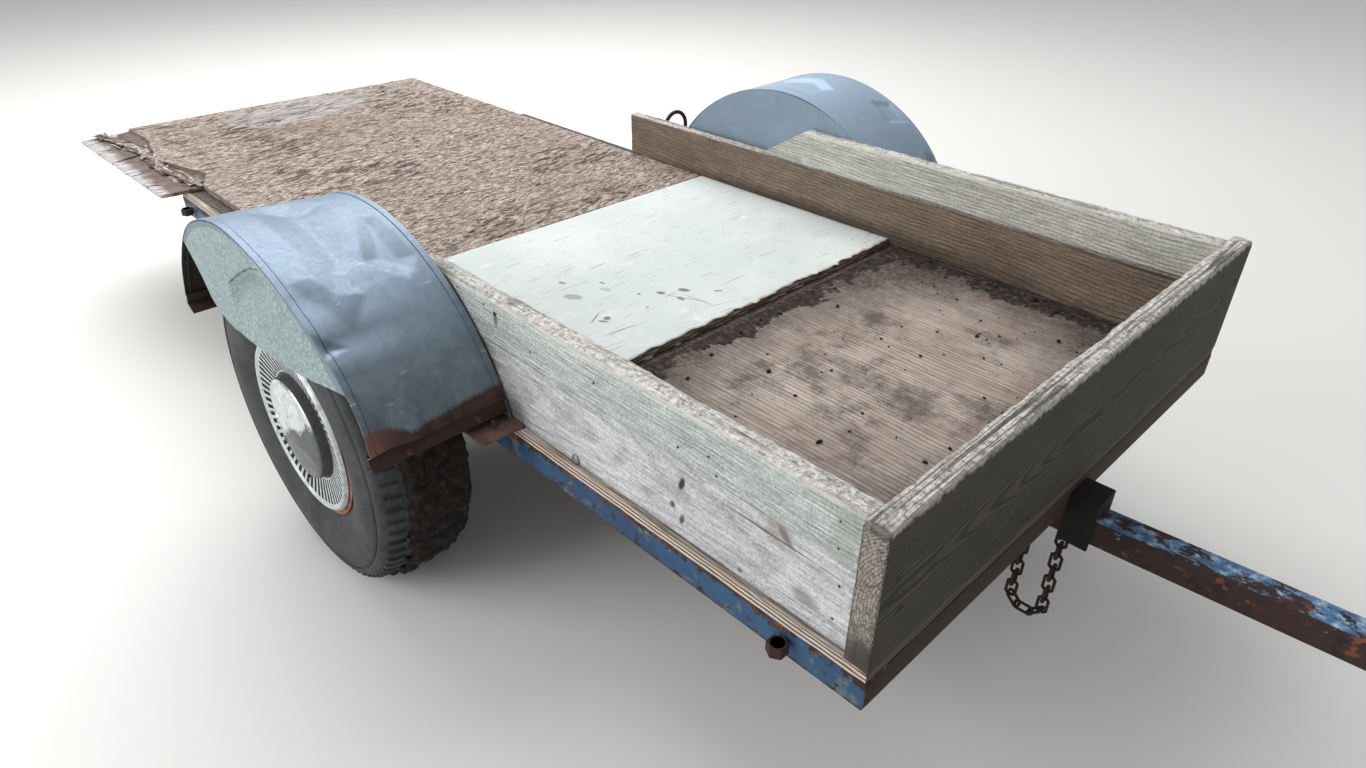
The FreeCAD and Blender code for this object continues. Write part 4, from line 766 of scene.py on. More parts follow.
steelCorners = dict(  # radius in millimetres
    frame_rail_left=1.5, frame_rail_right=1.5, frame_rail_front=1.5, frame_rail_rear=1.5, cross_members=1.2,
    tongue=3.0, tongue_bracket=1.5, tongue_rear_cheeks=1.2, fender_brackets_left=1.0, fender_brackets_right=1.0,
    fender_straps_left=1.2, fender_straps_right=1.2, spring_hangers=0.8, coupler_latch=1.2)
steelFinish = dict(tongue_bracket="black_steel", fender_straps_left="strap_steel", fender_straps_right="strap_steel")
# the rails, cross members and fender brackets take the darkest rust, which also stands in as painted shade
steelFinish.update(dict.fromkeys(("frame_rail_front", "frame_rail_rear", "cross_members", "fender_brackets_left",
                                  "fender_brackets_right"), "dark_steel"))
for name, width in steelCorners.items():
    shape = softEdges(nodeCopy(name), width / 1000)
    putPiece(shape, name + "_rolled", steelFinish.get(name, nodeSlot[name]), nodeBody[name], [name])
for name in ("axle", "axle_clamps", "spring_left", "spring_right", "spring_shackles", "rope_loop"):
    frame["nodes"][name].data.materials[0] = finishes["dark_steel"]
print("steel sections done")


# Boards

boards = dict(
    side_board_right_upper=dict(finish="plank", seed=1.0, rag=0.0035, cells=0.005,
                                cracks=[((0.02, -0.590, 0.689), (0.30, -0.592, 0.689)),
                                        ((0.40, -0.571, 0.689), (0.62, -0.573, 0.689)),
                                        ((0.66, -0.585, 0.689), (0.86, -0.583, 0.689))]),
    side_board_right_lower=dict(finish="silverPlank", seed=2.0, rag=0.0015, cells=0.005, cracks=[], covered=True),
    side_board_left_upper=dict(finish="mossyPlank", seed=3.0, rag=0.004, cells=0.006,
                               cracks=[((-0.02, 0.577, 0.689), (0.30, 0.575, 0.689)),
                                       ((0.42, 0.584, 0.689), (0.80, 0.582, 0.689))]),
    side_board_left_lower=dict(finish="muddyPlank", seed=4.0, rag=0.004, cells=0.006,
                               cracks=[((-0.72, 0.581, 0.600), (-0.36, 0.579, 0.600)),
                                       ((-0.50, 0.568, 0.600), (-0.24, 0.569, 0.600))]),
    front_board=dict(finish="olivePlankPaintedShade", seed=5.0, rag=0.004, cells=0.006,
                     cracks=[((0.985, -0.60, 0.695), (0.984, -0.22, 0.695)),
                             ((0.995, -0.605, 0.695), (0.993, 0.10, 0.695)),
                             ((1.004, -0.58, 0.695), (1.005, -0.12, 0.695)),
                             ((0.990, -0.10, 0.695), (0.992, 0.42, 0.695)),
                             ((1.001, 0.05, 0.695), (1.003, 0.58, 0.695))]))
boardWear = dict(slantLong=0.15, crackWide=0.0022, crackDeep=0.007, bow=0.0012, pitted=0.0012, reach=0.012, end=0.006)


def makeBoard(node, say):
    wear = boardWear
    shape = nodeCopy(node)
    low, high = corners(node)
    if node == "side_board_left_upper":  # a cut where its slanted end begins
        planeCut(shape, 0, [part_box(node)[0][0] + wear["slantLong"]])
    gridCut(shape, [say["cells"]] * 3)
    for start, end in say["cracks"]:
        crack(shape, start, end, wear["crackWide"], wear["crackDeep"])
    long = 1 if node == "front_board" else 0
    wide = 1 - long
    reach, end = wear["reach"], wear["end"]
    exposed = not say.get("covered")
    for vert in shape.verts:
        place = vert.co.copy()
        key = place.copy()
        key[wide] *= 0.3
        vert.co[wide] += wobble(key, 2.2, say["seed"]) * wear["bow"]
        toTop = high.z - place.z
        toSide = min(place[wide] - low[wide], high[wide] - place[wide])
        toEnd = min(place[long] - low[long], high[long] - place[long])
        rag = say["rag"] * (0.45 + 0.9 * abs(wobble(place, 26.0, say["seed"] + 3))
                            + 1.1 * max(0.0, wobble(place, 9.0, say["seed"] + 7)) ** 2)
        inward = 1.0 if place[wide] < (low[wide] + high[wide]) / 2 else -1.0
        if exposed and toTop < reach and toSide < reach:
            share = (1 - toTop / reach) * (1 - toSide / reach)
            vert.co.z -= rag * share
            vert.co[wide] += inward * rag * 0.6 * share
        if exposed and toTop < 0.001:
            key = Vector((place.x, place.y, 0.0))
            key[wide] *= 4.0
            vert.co.z -= wear["pitted"] * abs(wobble(key, 40.0, say["seed"]))
        if toEnd < end and min(toTop, toSide, place.z - low.z) < end:
            vert.co[long] += rag * 0.5 * (1 if place[long] < (low[long] + high[long]) / 2 else -1)
    putPiece(shape, node + "_worn", say["finish"], "trailer", [node], 50.0)


for name, say in boards.items():
    makeBoard(name, say)
print("boards done")


# Floor, deck sheet, flap and painted panel

plyStep = plySizes["thickness"] / plySizes["layers"]
floorSizes = dict(cells=(0.008, 0.04, plyStep), rim=0.002, fret=0.0016)


def makeFloor():  # its outline is fretted in and out
    say = floorSizes
    low, high = corners("floor_panel")
    shape = gridCut(nodeCopy("floor_panel"), say["cells"])
    for vert in shape.verts:
        x, y, z = vert.co
        pull = say["fret"] * (0.5 + 1.2 * abs(wobble((x, y, z * 6), 35.0, 11.0)))
        for axis in (0, 1):
            if vert.co[axis] - low[axis] < say["rim"]:
                vert.co[axis] += pull
            elif high[axis] - vert.co[axis] < say["rim"]:
                vert.co[axis] -= pull
    putPiece(shape, "floor_panel_worn", "floor_ply", "trailer", ["floor_panel"])


deckSizes = dict(cell=0.012, layer=0.005, crackDeep=0.010, hollow=0.0020, fret=0.006, slivers=2200,
                 sliverLong=(0.015, 0.07), sliverWide=(0.0010, 0.0030), sliverHigh=0.0016)
tornEdge = ((-2.11, -0.628), (-1.94, -0.602), (-1.84, -0.588), (-1.60, -0.598), (-1.40, -0.576))


def makeTornPlies():  # broken upper plies left lying along the split
    draw = random.Random(17)
    shapes = {"weathered_ply": bmesh.new(), "rotten_ply": bmesh.new(), "muddyPlank": bmesh.new()}
    kinds = list(shapes)
    for (ax, ay), (bx, by) in zip(tornEdge, tornEdge[1:]):
        run = Vector((bx - ax, by - ay))
        for _ in range(int(run.length * 200)):
            share = draw.random()
            long = draw.uniform(0.03, 0.10)
            wide = draw.uniform(0.006, 0.022)
            high = draw.uniform(0.0010, 0.0028)
            put = Matrix.Translation((ax + run.x * share, ay + run.y * share + draw.gauss(0.006, 0.010),
                                      draw.uniform(0.4695, 0.4800)))
            turn = (Matrix.Rotation(math.atan2(run.y, run.x) + draw.gauss(0, 0.16), 4, "Z")
                    @ Matrix.Rotation(draw.gauss(0, 0.04), 4, "Y") @ Matrix.Rotation(draw.gauss(0, 0.16), 4, "X"))
            grow = Matrix.Diagonal((long, wide, high, 1.0))
            bmesh.ops.create_cone(shapes[draw.choice(kinds)], cap_ends=True, segments=5, radius1=0.6, radius2=0.35,
                                  depth=1.0, matrix=put @ turn @ grow @ Matrix.Rotation(math.pi / 2, 4, "Y"))
    for kind, shape in shapes.items():
        putPiece(shape, "torn_plies_" + kind, kind, sharp=40.0)


def splitTop(shape, cracks, top, depth):
    shape.normal_update()
    for start, end, width in cracks:
        crack(shape, (*start, top), (*end, top), width, depth)
        shape.normal_update()


def rimVerts(shape):  # the points on a sheet's sharp edges
    return {vert for edge in shape.edges if edge.calc_face_angle(0.0) > 0.5 for vert in edge.verts}


def makeDeck():
    say = deckSizes
    low, high = corners("rear_deck_sheet")
    shape = nodeCopy("rear_deck_sheet")
    for axis, step in enumerate((say["cell"], say["cell"], say["layer"])):
        planeCut(shape, axis, spread(low[axis], high[axis], step))
    splitTop(shape, deckCracks, high.z, say["crackDeep"])
    borders = rimVerts(shape)
    for vert in shape.verts:
        place = vert.co.copy()
        if place.z > plySizes["sheetTop"] - 0.001:
            lift = 0.5 * wobble((place.x, place.y * 0.5, 0), 9.0, 2.0)
            lift += 0.9 * wobble((place.x * 2.4, place.y * 0.5, 0), 34.0, 5.0)
            vert.co.z += 0.0009 * lift - 0.0006
            if wobble((place.x, place.y, 0), 3.1, 9.0) > 0.22:  # a veneer is gone here
                vert.co.z -= say["hollow"]
        if vert in borders:
            vert.co.x += say["fret"] * wobble((place.x, place.y, place.z * 9), 45.0, 6.0)
            vert.co.y += say["fret"] * wobble((place.y, place.x, place.z * 9), 45.0, 8.0)
    putPiece(shape, "rear_deck_sheet_worn", "weathered_ply", "trailer", ["rear_deck_sheet"], sharp=60.0)


def makeSlivers():  # loose strands and lifted fibres on the old sheet
    say = deckSizes
    draw = random.Random(7)
    low, high = corners("rear_deck_sheet")
    shapes = {"weathered_ply": bmesh.new(), "bleached_ply": bmesh.new()}
    for index in range(say["slivers"]):
        finish = "bleached_ply" if index % 3 == 0 else "weathered_ply"
        x = draw.uniform(low.x + 0.05, high.x - 0.02)
        y = draw.uniform(low.y + 0.09, high.y - 0.02)
        long = draw.uniform(*say["sliverLong"])
        wide = draw.uniform(*say["sliverWide"])
        turn = draw.gauss(0.12, 0.28)
        grow = Matrix.Diagonal((wide, long, say["sliverHigh"] * draw.uniform(0.6, 1.5), 1.0))
        tilt = Matrix.Rotation(draw.uniform(-0.02, 0.02), 4, "X")
        put = Matrix.Translation((x, y, plySizes["sheetTop"] - 0.0003)) @ Matrix.Rotation(turn, 4, "Z") @ tilt @ grow
        bmesh.ops.create_cone(shapes[finish], cap_ends=True, segments=4, radius1=0.6, radius2=0.28, depth=1.0,
                              matrix=put)
    for finish, shape in shapes.items():
        putPiece(shape, "deck_slivers_" + finish, finish, sharp=60.0)


flapSizes = dict(cell=0.009, strip=0.23, crackDeep=0.0085)


def makeFlap():  # strips that curl and part
    say = flapSizes
    low, high = corners("rear_deck_flap")
    shape = nodeCopy("rear_deck_flap")
    for axis in (0, 1):
        planeCut(shape, axis, spread(low[axis], high[axis], say["cell"]))
    splitTop(shape, flapCracks, high.z, say["crackDeep"])
    borders = rimVerts(shape)
    for vert in shape.verts:
        place = vert.co.copy()
        strip = math.floor((place.x - low.x) / say["strip"])
        vert.co.z += 0.002 * wobble((place.x, place.y, strip), 12.0, 3.0)
        if place.z > low.z + 0.004:
            vert.co.z += 0.0022 * wobble((place.x * 0.4, place.y * 2.2, 0), 60.0, 4.0)
        if vert in borders:
            vert.co.x += 0.005 * wobble((place.x, place.y, place.z * 9), 55.0, 1.0)
            vert.co.y += 0.004 * wobble((place.y, place.x, place.z * 9), 55.0, 2.0)
    putPiece(shape, "rear_deck_flap_worn", "bleached_ply", "trailer", ["rear_deck_flap"], 60.0)


panelSizes = dict(cells=(0.010, 0.008, plyStep), frayLong=0.03)


def makePanel():  # frayed along its front edge
    low, high = corners("floor_patch_panel")
    shape = gridCut(nodeCopy("floor_patch_panel"), panelSizes["cells"])
    for vert in shape.verts:
        place = vert.co.copy()
        front = max(0.0, 1 - (high.x - place.x) / panelSizes["frayLong"])
        layer = (place.z - low.z) / plySizes["thickness"]
        fret = 0.5 + wobble((place.y, layer * 1.3, 0), 24.0, 2.0) + 0.7 * wobble((place.y, layer * 2, 0), 75.0, 5.0)
        vert.co.x -= front * 0.008 * max(0.0, fret)
        if layer > 0.9:
            vert.co.z -= front * 0.004 * max(0.0, wobble((place.y, 0, 0), 48.0, 8.0) + 0.2)
        vert.co.z += 0.0008 * wobble((place.x, place.y, 0), 5.0, 1.0)
    putPiece(shape, "floor_patch_panel_worn", "mint_paint", "trailer", ["floor_patch_panel"], sharp=55.0)


makeFloor()
makeDeck()
makeSlivers()
makeFlap()
makeTornPlies()
makePanel()
print("floor and sheets done")


# Soil on the floor: a crust that thins out in the middle, and loose crumbs

soilSizes = dict(cell=0.0075, low=(0.262, -0.553), high=(0.974, 0.553), crust=0.0034, crumbs=2600)


def soilDepth(x, y):  # deepest by the panel, the boards and the far corner
    low, high = soilSizes["low"], soilSizes["high"]
    edge = max(1 - (x - low[0]) / 0.10, 1 - (high[0] - x) / 0.11, 1 - (y - low[1]) / 0.04, 1 - (high[1] - y) / 0.13)
    patch = wobble((x, y, 0), 9.0, 4.0) + 0.6 * wobble((x, y, 0), 30.0, 6.0) + 0.5 * wobble((x, y, 0), 90.0, 2.0)
    return soilSizes["crust"] * (edge * 1.3 + 0.7 * patch - 0.75)


def makeSoil():
    say = soilSizes
    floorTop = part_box("floor_panel")[1][2]
    low, high = Vector((*say["low"], floorTop)), Vector((*say["high"], floorTop))
    size = high - low
    shape = bmesh.new()
    bmesh.ops.create_grid(shape, x_segments=int(size.x / say["cell"]), y_segments=int(size.y / say["cell"]), size=0.5,
                          matrix=Matrix.Translation((low + high) / 2) @ Matrix.Diagonal((size.x, size.y, 1.0, 1.0)))
    for vert in shape.verts:
        x, y, _ = vert.co
        deep = soilDepth(x, y)
        lump = 0.0016 * abs(wobble((x, y, 0), 120.0, 1.0)) if deep > 0 else 0.0
        vert.co.z = floorTop + max(deep, -0.003) + lump
    bmesh.ops.solidify(shape, geom=shape.faces[:], thickness=0.004)
    putPiece(shape, "bed_soil", "soil", sharp=70.0)
    draw = random.Random(21)
    shape = bmesh.new()
    for _ in range(say["crumbs"]):
        x = draw.uniform(say["low"][0] + 0.01, say["high"][0] - 0.01)
        y = draw.uniform(say["low"][1] + 0.01, say["high"][1] - 0.01)
        deep = soilDepth(x, y)
        if deep < 0.0004 and draw.random() < 0.86:
            continue
        radius = 0.0009 + 0.0042 * draw.random() ** 6
        put = Matrix.Translation((x, y, floorTop + max(deep, 0.0) + radius * 0.4))
        turn = Matrix.Rotation(draw.uniform(0, 6.0), 4, "Z") @ Matrix.Rotation(draw.uniform(0, 3.0), 4, "X")
        grow = Matrix.Diagonal((draw.uniform(0.8, 1.6), 1.0, draw.uniform(0.6, 1.0), 1.0))
        bmesh.ops.create_icosphere(shape, subdivisions=1, radius=radius, matrix=put @ turn @ grow)
    putPiece(shape, "bed_crumbs", "soil", sharp=20.0)


makeSoil()
print("soil done")


# Fenders: a rolled band with hems, its dents, and the outer skirt that follows its edge

fenderLift = [(155.0, 0.0), (140.0, 0.004), (118.0, 0.013), (100.0, 0.010), (80.0, 0.004), (62.0, 0.006),
              (50.0, 0.016), (42.0, 0.027), (34.0, 0.030), (25.0, 0.018)]
fenderDents = dict(  # each rim is (degrees, side) round the dent; fall is how wide its slope is
    near=[dict(deep=0.004, fall=0.060, rim=((110, 0.84), (72.0, 0.855), (58.0, 0.80), (60.0, 0.70), (60.0, 0.63),
                                             (84.0, 0.62), (106.0, 0.65))),
          dict(deep=0.014, fall=0.055, rim=((102, 0.800), (92, 0.801), (75.5, 0.794), (66.0, 0.775), (64.6, 0.755),
                                             (67.0, 0.718), (75.0, 0.690), (96.0, 0.67), (104.0, 0.71), (106.0, 0.77))),
          dict(deep=-0.008, fall=0.040, rim=((74.0, 0.803), (66.0, 0.85), (50.0, 0.80), (58.0, 0.745), (65.0, 0.770))),
          dict(deep=0.008, fall=0.030, rim=((66.5, 0.715), (58.0, 0.66), (64.0, 0.620), (80.0, 0.625), (84.0, 0.660))),
          dict(deep=0.008, fall=0.016, rim=((52.5, 0.866), (47.0, 0.825), (46.0, 0.866))),
          dict(deep=0.016, fall=0.030, rim=((38.5, 0.860), (36.0, 0.823), (34.1, 0.795), (30.0, 0.782), (20.0, 0.805),
                                             (22.0, 0.860))),
          dict(deep=-0.009, fall=0.022, rim=((35.0, 0.796), (20.0, 0.80), (20.0, 0.755), (31.0, 0.760)))],
    far=[dict(deep=0.008, fall=0.03, rim=((112, 0.66), (84, 0.64), (80, 0.74), (92, 0.80), (108, 0.78))),
         dict(deep=0.006, fall=0.015, rim=((70, 0.80), (58, 0.78), (55, 0.85), (66, 0.86))),
         dict(deep=0.012, fall=0.015, rim=((44, 0.84), (30, 0.80), (26, 0.86), (40, 0.868)))])


def edgeLift(angle):  # how far the near fender's outer edge is bent out, by degrees from the front
    for (high, first), (low, second) in zip(fenderLift, fenderLift[1:]):
        if low <= angle <= high:
            share = (high - angle) / (high - low)
            share = share * share * (3 - 2 * share)
            return first + (second - first) * share
    return 0.0


def insideDepth(point, rim):  # how far inside a closed outline a point is, in the outline's units
    nearest, inside = 1e9, False
    for (ax, ay), (bx, by) in zip(rim, rim[1:] + rim[:1]):
        run = Vector((bx - ax, by - ay))
        off = Vector((point[0] - ax, point[1] - ay))
        share = min(max(off.dot(run) / run.length_squared, 0.0), 1.0)
        nearest = min(nearest, (off - run * share).length)
        if (ay > point[1]) != (by > point[1]) and point[0] < (bx - ax) * (point[1] - ay) / (by - ay) + ax:
            inside = not inside
    return nearest if inside else 0.0


def unrolled(angle, side):  # a place on the band as if it lay flat, in metres
    return math.radians(angle) * fenderSizes["radius"], side


def dentDepth(angle, side, dents):
    place = unrolled(angle, side)
    return sum(deep * min(insideDepth(place, rim) / fall, 1.0) for deep, fall, rim in dents)


def polar(place):  # radius and degrees about the fender's centre
    x, z = place.x - fenderSizes["centreX"], place.z - fenderSizes["centreZ"]
    return math.hypot(x, z), math.degrees(math.atan2(z, x))


def pushOut(vert, radius, push):  # moves a point away from the fender's centre
    scale = (radius + push) / radius
    vert.co.x = fenderSizes["centreX"] + (vert.co.x - fenderSizes["centreX"]) * scale
    vert.co.z = fenderSizes["centreZ"] + (vert.co.z - fenderSizes["centreZ"]) * scale


def outwardOnly(shape, middle):  # turns an open skin's faces away from its middle
    if sum(face.normal.dot(face.calc_center_median() - middle) for face in shape.faces) < 0:
        bmesh.ops.reverse_faces(shape, faces=shape.faces[:])


def makeFender(side, key, finish):
    say = fenderSizes
    node = "fender_band_" + sideName(side)
    endAngle = math.degrees(math.asin((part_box(node)[0][2] - say["centreZ"]) / say["radius"]))
    dents = [(dent["deep"], dent["fall"], [unrolled(*spot) for spot in dent["rim"]]) for dent in fenderDents[key]]
    wide = say["outer"] - say["inner"]
    columns = [0.0, 0.004, 0.008, say["hem"] - 0.0008, say["hem"], say["hem"] + 0.0008]
    middle = spread(say["hem"] + 0.004, wide - say["hem"] - 0.004, say["cell"])
    columns += middle + [wide - column for column in reversed(columns)]
    start = Vector((say["centreX"], 0, say["centreZ"]))
    turn = Matrix.Rotation(-math.radians(endAngle), 3, "Y")
    shape = bmesh.new()
    verts = []
    for column in columns:
        fromEdge = min(column, wide - column)
        rise = say["hemRise"] if fromEdge < say["hem"] - 0.0005 else (-0.001 if fromEdge < say["hem"] + 0.0004 else 0)
        arm = turn @ Vector((say["radius"] + rise, 0, 0))
        verts.append(shape.verts.new((start.x + arm.x, side * (say["inner"] + column), start.z + arm.z)))
    edges = [shape.edges.new(pair) for pair in zip(verts, verts[1:])]
    bmesh.ops.spin(shape, geom=verts + edges, cent=start, axis=(0, -1, 0), dvec=(0, 0, 0),
                   angle=math.radians(180 - 2 * endAngle), steps=say["steps"], use_merge=False, use_duplicate=False)
    for vert in shape.verts:
        radius, angle = polar(vert.co)
        across = abs(vert.co.y)
        push = -dentDepth(angle, across, dents)
        push += 0.0022 * wobble(vert.co, 5.0, 3.0 if side < 0 else 9.0)
        if side < 0:
            share = max(0.0, (across - say["inner"]) / wide)
            push += edgeLift(angle) * share * share * (3 - 2 * share)
        crumple = max(0.0, 1 - (angle - endAngle) / 14.0) * max(0.0, (across - 0.76) / 0.10)
        push += 0.006 * crumple * wobble(vert.co, 42.0, 2.0)
        pushOut(vert, radius, push)
    bmesh.ops.recalc_face_normals(shape, faces=shape.faces[:])
    outwardOnly(shape, start)
    bmesh.ops.solidify(shape, geom=shape.faces[:], thickness=say["wall"])
    piece = putPiece(shape, node + "_dented", finish, "trailer", [node], 50.0)
    piece.data.materials.append(finishes["underside"])
    for face in piece.data.polygons:
        away = Vector((face.center.x - start.x, 0, face.center.z - start.z))
        if face.normal.dot(away) < -0.3 * away.length:
            face.material_index = 1


def foldDepth(x, z):  # the near skirt is creased along a short curve and sinks in under it
    for (ax, az), (bx, bz) in zip(skirtFold, skirtFold[1:]):
        if ax <= x <= bx:
            line = az + (bz - az) * (x - ax) / (bx - ax)
            under = line - z
            ends = min((x - skirtFold[0][0]) / 0.02, (skirtFold[-1][0] - x) / 0.02, 1.0)
            return 0.011 * ends * min(max(under / 0.012, 0.0), 1.0) * max(0.0, 1 - under / 0.10)
    return 0.0


def makeSkirt(side, finish):
    node = "fender_skirt_" + sideName(side)
    low, high = corners(node)
    shape = nodeCopy(node)
    for axis in (0, 2):
        planeCut(shape, axis, spread(low[axis], high[axis], fenderSizes["skirtCell"]))
    for vert in shape.verts:
        radius, angle = polar(vert.co)
        if side < 0:
            pushOut(vert, radius, edgeLift(angle) * min(max((radius - 0.24) / 0.20, 0.0), 1.0))
        inner = min(max((0.445 - radius) / 0.05, 0.0), 1.0)
        vert.co.y += side * inner * (0.0035 * wobble(vert.co, 6.0, 4.0) + 0.0010 * wobble(vert.co, 22.0, 5.0))
        if side < 0:
            vert.co.y += inner * foldDepth(vert.co.x, vert.co.z)
    putPiece(shape, node + "_bent", finish, "trailer", [node], 40.0)


for side, key, finish in ((-1, "near", "galvanised"), (1, "far", "galvanisedFarPaintedSheen")):
    makeFender(side, key, finish)
    makeSkirt(side, finish)
frame["nodes"]["fender_inner_plate_left"].data.materials[0] = finishes["galvanisedFarPaintedSheen"]
print("fenders done")


# Wheels: tyre with tread lugs and a crust of mud, and the fluted cover with its battered dome

tyreSizes = dict(lugs=72, lugTop=0.3455, mudSteps=330, clods=260, mudFrom=-0.056, mudTo=0.100, ground=0.001,
                 lugRows=(  # side from the middle, drop below the crown, width, length, lean, height
                     (0.064, 0.0020, 0.024, 0.015, 0.12, 0.010), (0.0785, 0.0062, 0.013, 0.013, 0.50, 0.009),
                     (0.022, 0.0, 0.026, 0.018, 0.0, 0.009)))
coverSizes = dict(steps=480, rise=0.0013, ringIn=0.1200, ringOut=0.1695, skin=0.0775, wall=0.002, valvePlace=0.141,
                  valveAngle=259.0, valveRadius=0.0095, valveDeep=0.016, domeRim=(0.106, 0.0975), domeTop=0.118,
                  bruise=(-0.064, -0.026), bruiseWide=0.050)
coverOutline = [  # radius and side of the cover's skin from the wheel's middle, from its edge in
    (0.1860, 0.0843), (0.1845, 0.0868), (0.1815, 0.0905), (0.1790, 0.0923), (0.1765, 0.0919), (0.1740, 0.0901),
    (0.1720, 0.0883)]


def spinAxis(side):
    return Vector((wheelSizes["x"], side * wheelSizes["side"], wheelSizes["z"]))


def placed(spots, side):  # (radius, side) points in the plane that stands ahead of the axle
    middle = spinAxis(side)
    return [Vector((middle.x + radius, middle.y + side * out, middle.z)) for radius, out in spots]


def spun(spots, side, steps, closed=False):
    shape = bmesh.new()
    verts = [shape.verts.new(place) for place in placed(spots, side)]
    pairs = list(zip(verts, verts[1:])) + ([(verts[-1], verts[0])] if closed else [])
    edges = [shape.edges.new(pair) for pair in pairs]
    bmesh.ops.spin(shape, geom=verts + edges, cent=spinAxis(side), axis=(0, 1, 0), dvec=(0, 0, 0), angle=math.tau,
                   steps=steps, use_merge=True, use_duplicate=False)
    bmesh.ops.remove_doubles(shape, verts=shape.verts[:], dist=0.00001)
    bmesh.ops.recalc_face_normals(shape, faces=shape.faces[:])
    return shape


def makeCover(side, seed):
    say = coverSizes
    domeTop, (domeRim, rimSide) = say["domeTop"], say["domeRim"]
    domeRadius = (domeRim ** 2 + (domeTop - rimSide) ** 2) / (2 * (domeTop - rimSide))
    spots = list(coverOutline)
    spots += [(0.172 - 0.055 * index / 24, 0.0883 - 0.010 * index / 24) for index in range(1, 25)]
    spots += [(0.1150, 0.0777), (0.1130, 0.0775), (0.1115, 0.0783), (0.1103, 0.083), (0.1092, 0.090), (0.1075, 0.0952),
              (0.1050, 0.0980)]
    for index in range(1, 27):
        radius = 0.1045 - 0.1045 * index / 26
        spots.append((radius, domeTop - domeRadius + math.sqrt(domeRadius ** 2 - radius * radius)))
    inner = [(0.0, domeTop - say["wall"]), (0.06, 0.1080), (0.099, 0.0950), (0.1085, 0.0765), (0.117, 0.0763),
             (0.170, 0.0855), (0.179, 0.0895), (0.184, 0.084)]
    shape = spun(spots + inner, side, say["steps"], closed=True)
    middle = spinAxis(side)
    hole = math.radians(say["valveAngle"])
    holeX, holeZ = middle.x + say["valvePlace"] * math.cos(hole), middle.z + say["valvePlace"] * math.sin(hole)
    for vert in shape.verts:
        off = vert.co - middle
        radius, turn = math.hypot(off.x, off.z), math.atan2(off.z, off.x)
        out = side * off.y
        if say["ringIn"] < radius < say["ringOut"] and out > say["skin"]:
            phase = math.cos(turn * coverLook["flutes"])
            ends = min((radius - say["ringIn"]) / 0.003, (say["ringOut"] - radius) / 0.003, 1.0)
            vert.co.y += side * say["rise"] * ends * max(0.0, min(1.0, 0.9 * phase))
        if math.hypot(vert.co.x - holeX, vert.co.z - holeZ) < say["valveRadius"] and out > say["skin"]:
            vert.co.y -= side * say["valveDeep"]
        if radius < 0.110 and out > 0.087:
            far = math.hypot(off.x - say["bruise"][0], off.z - say["bruise"][1])
            bruise = max(0.0, min(1.0, 1.5 - far / say["bruiseWide"]))
            ridge = abs(wobble(vert.co, 34.0, seed)) + 0.6 * abs(wobble(vert.co, 90.0, seed))
            push = bruise * (0.001 + 0.017 * ridge)
            push += 0.0034 * abs(wobble(vert.co, 17.0, seed + 2)) * min(1.0, (0.110 - radius) / 0.02)
            vert.co.y -= side * push
    name = sideName(side)
    cover = "wheel_cover_" + name
    putPiece(shape, cover + "_battered", "cover_chrome", "wheel_" + name, [cover], sharp=45.0)


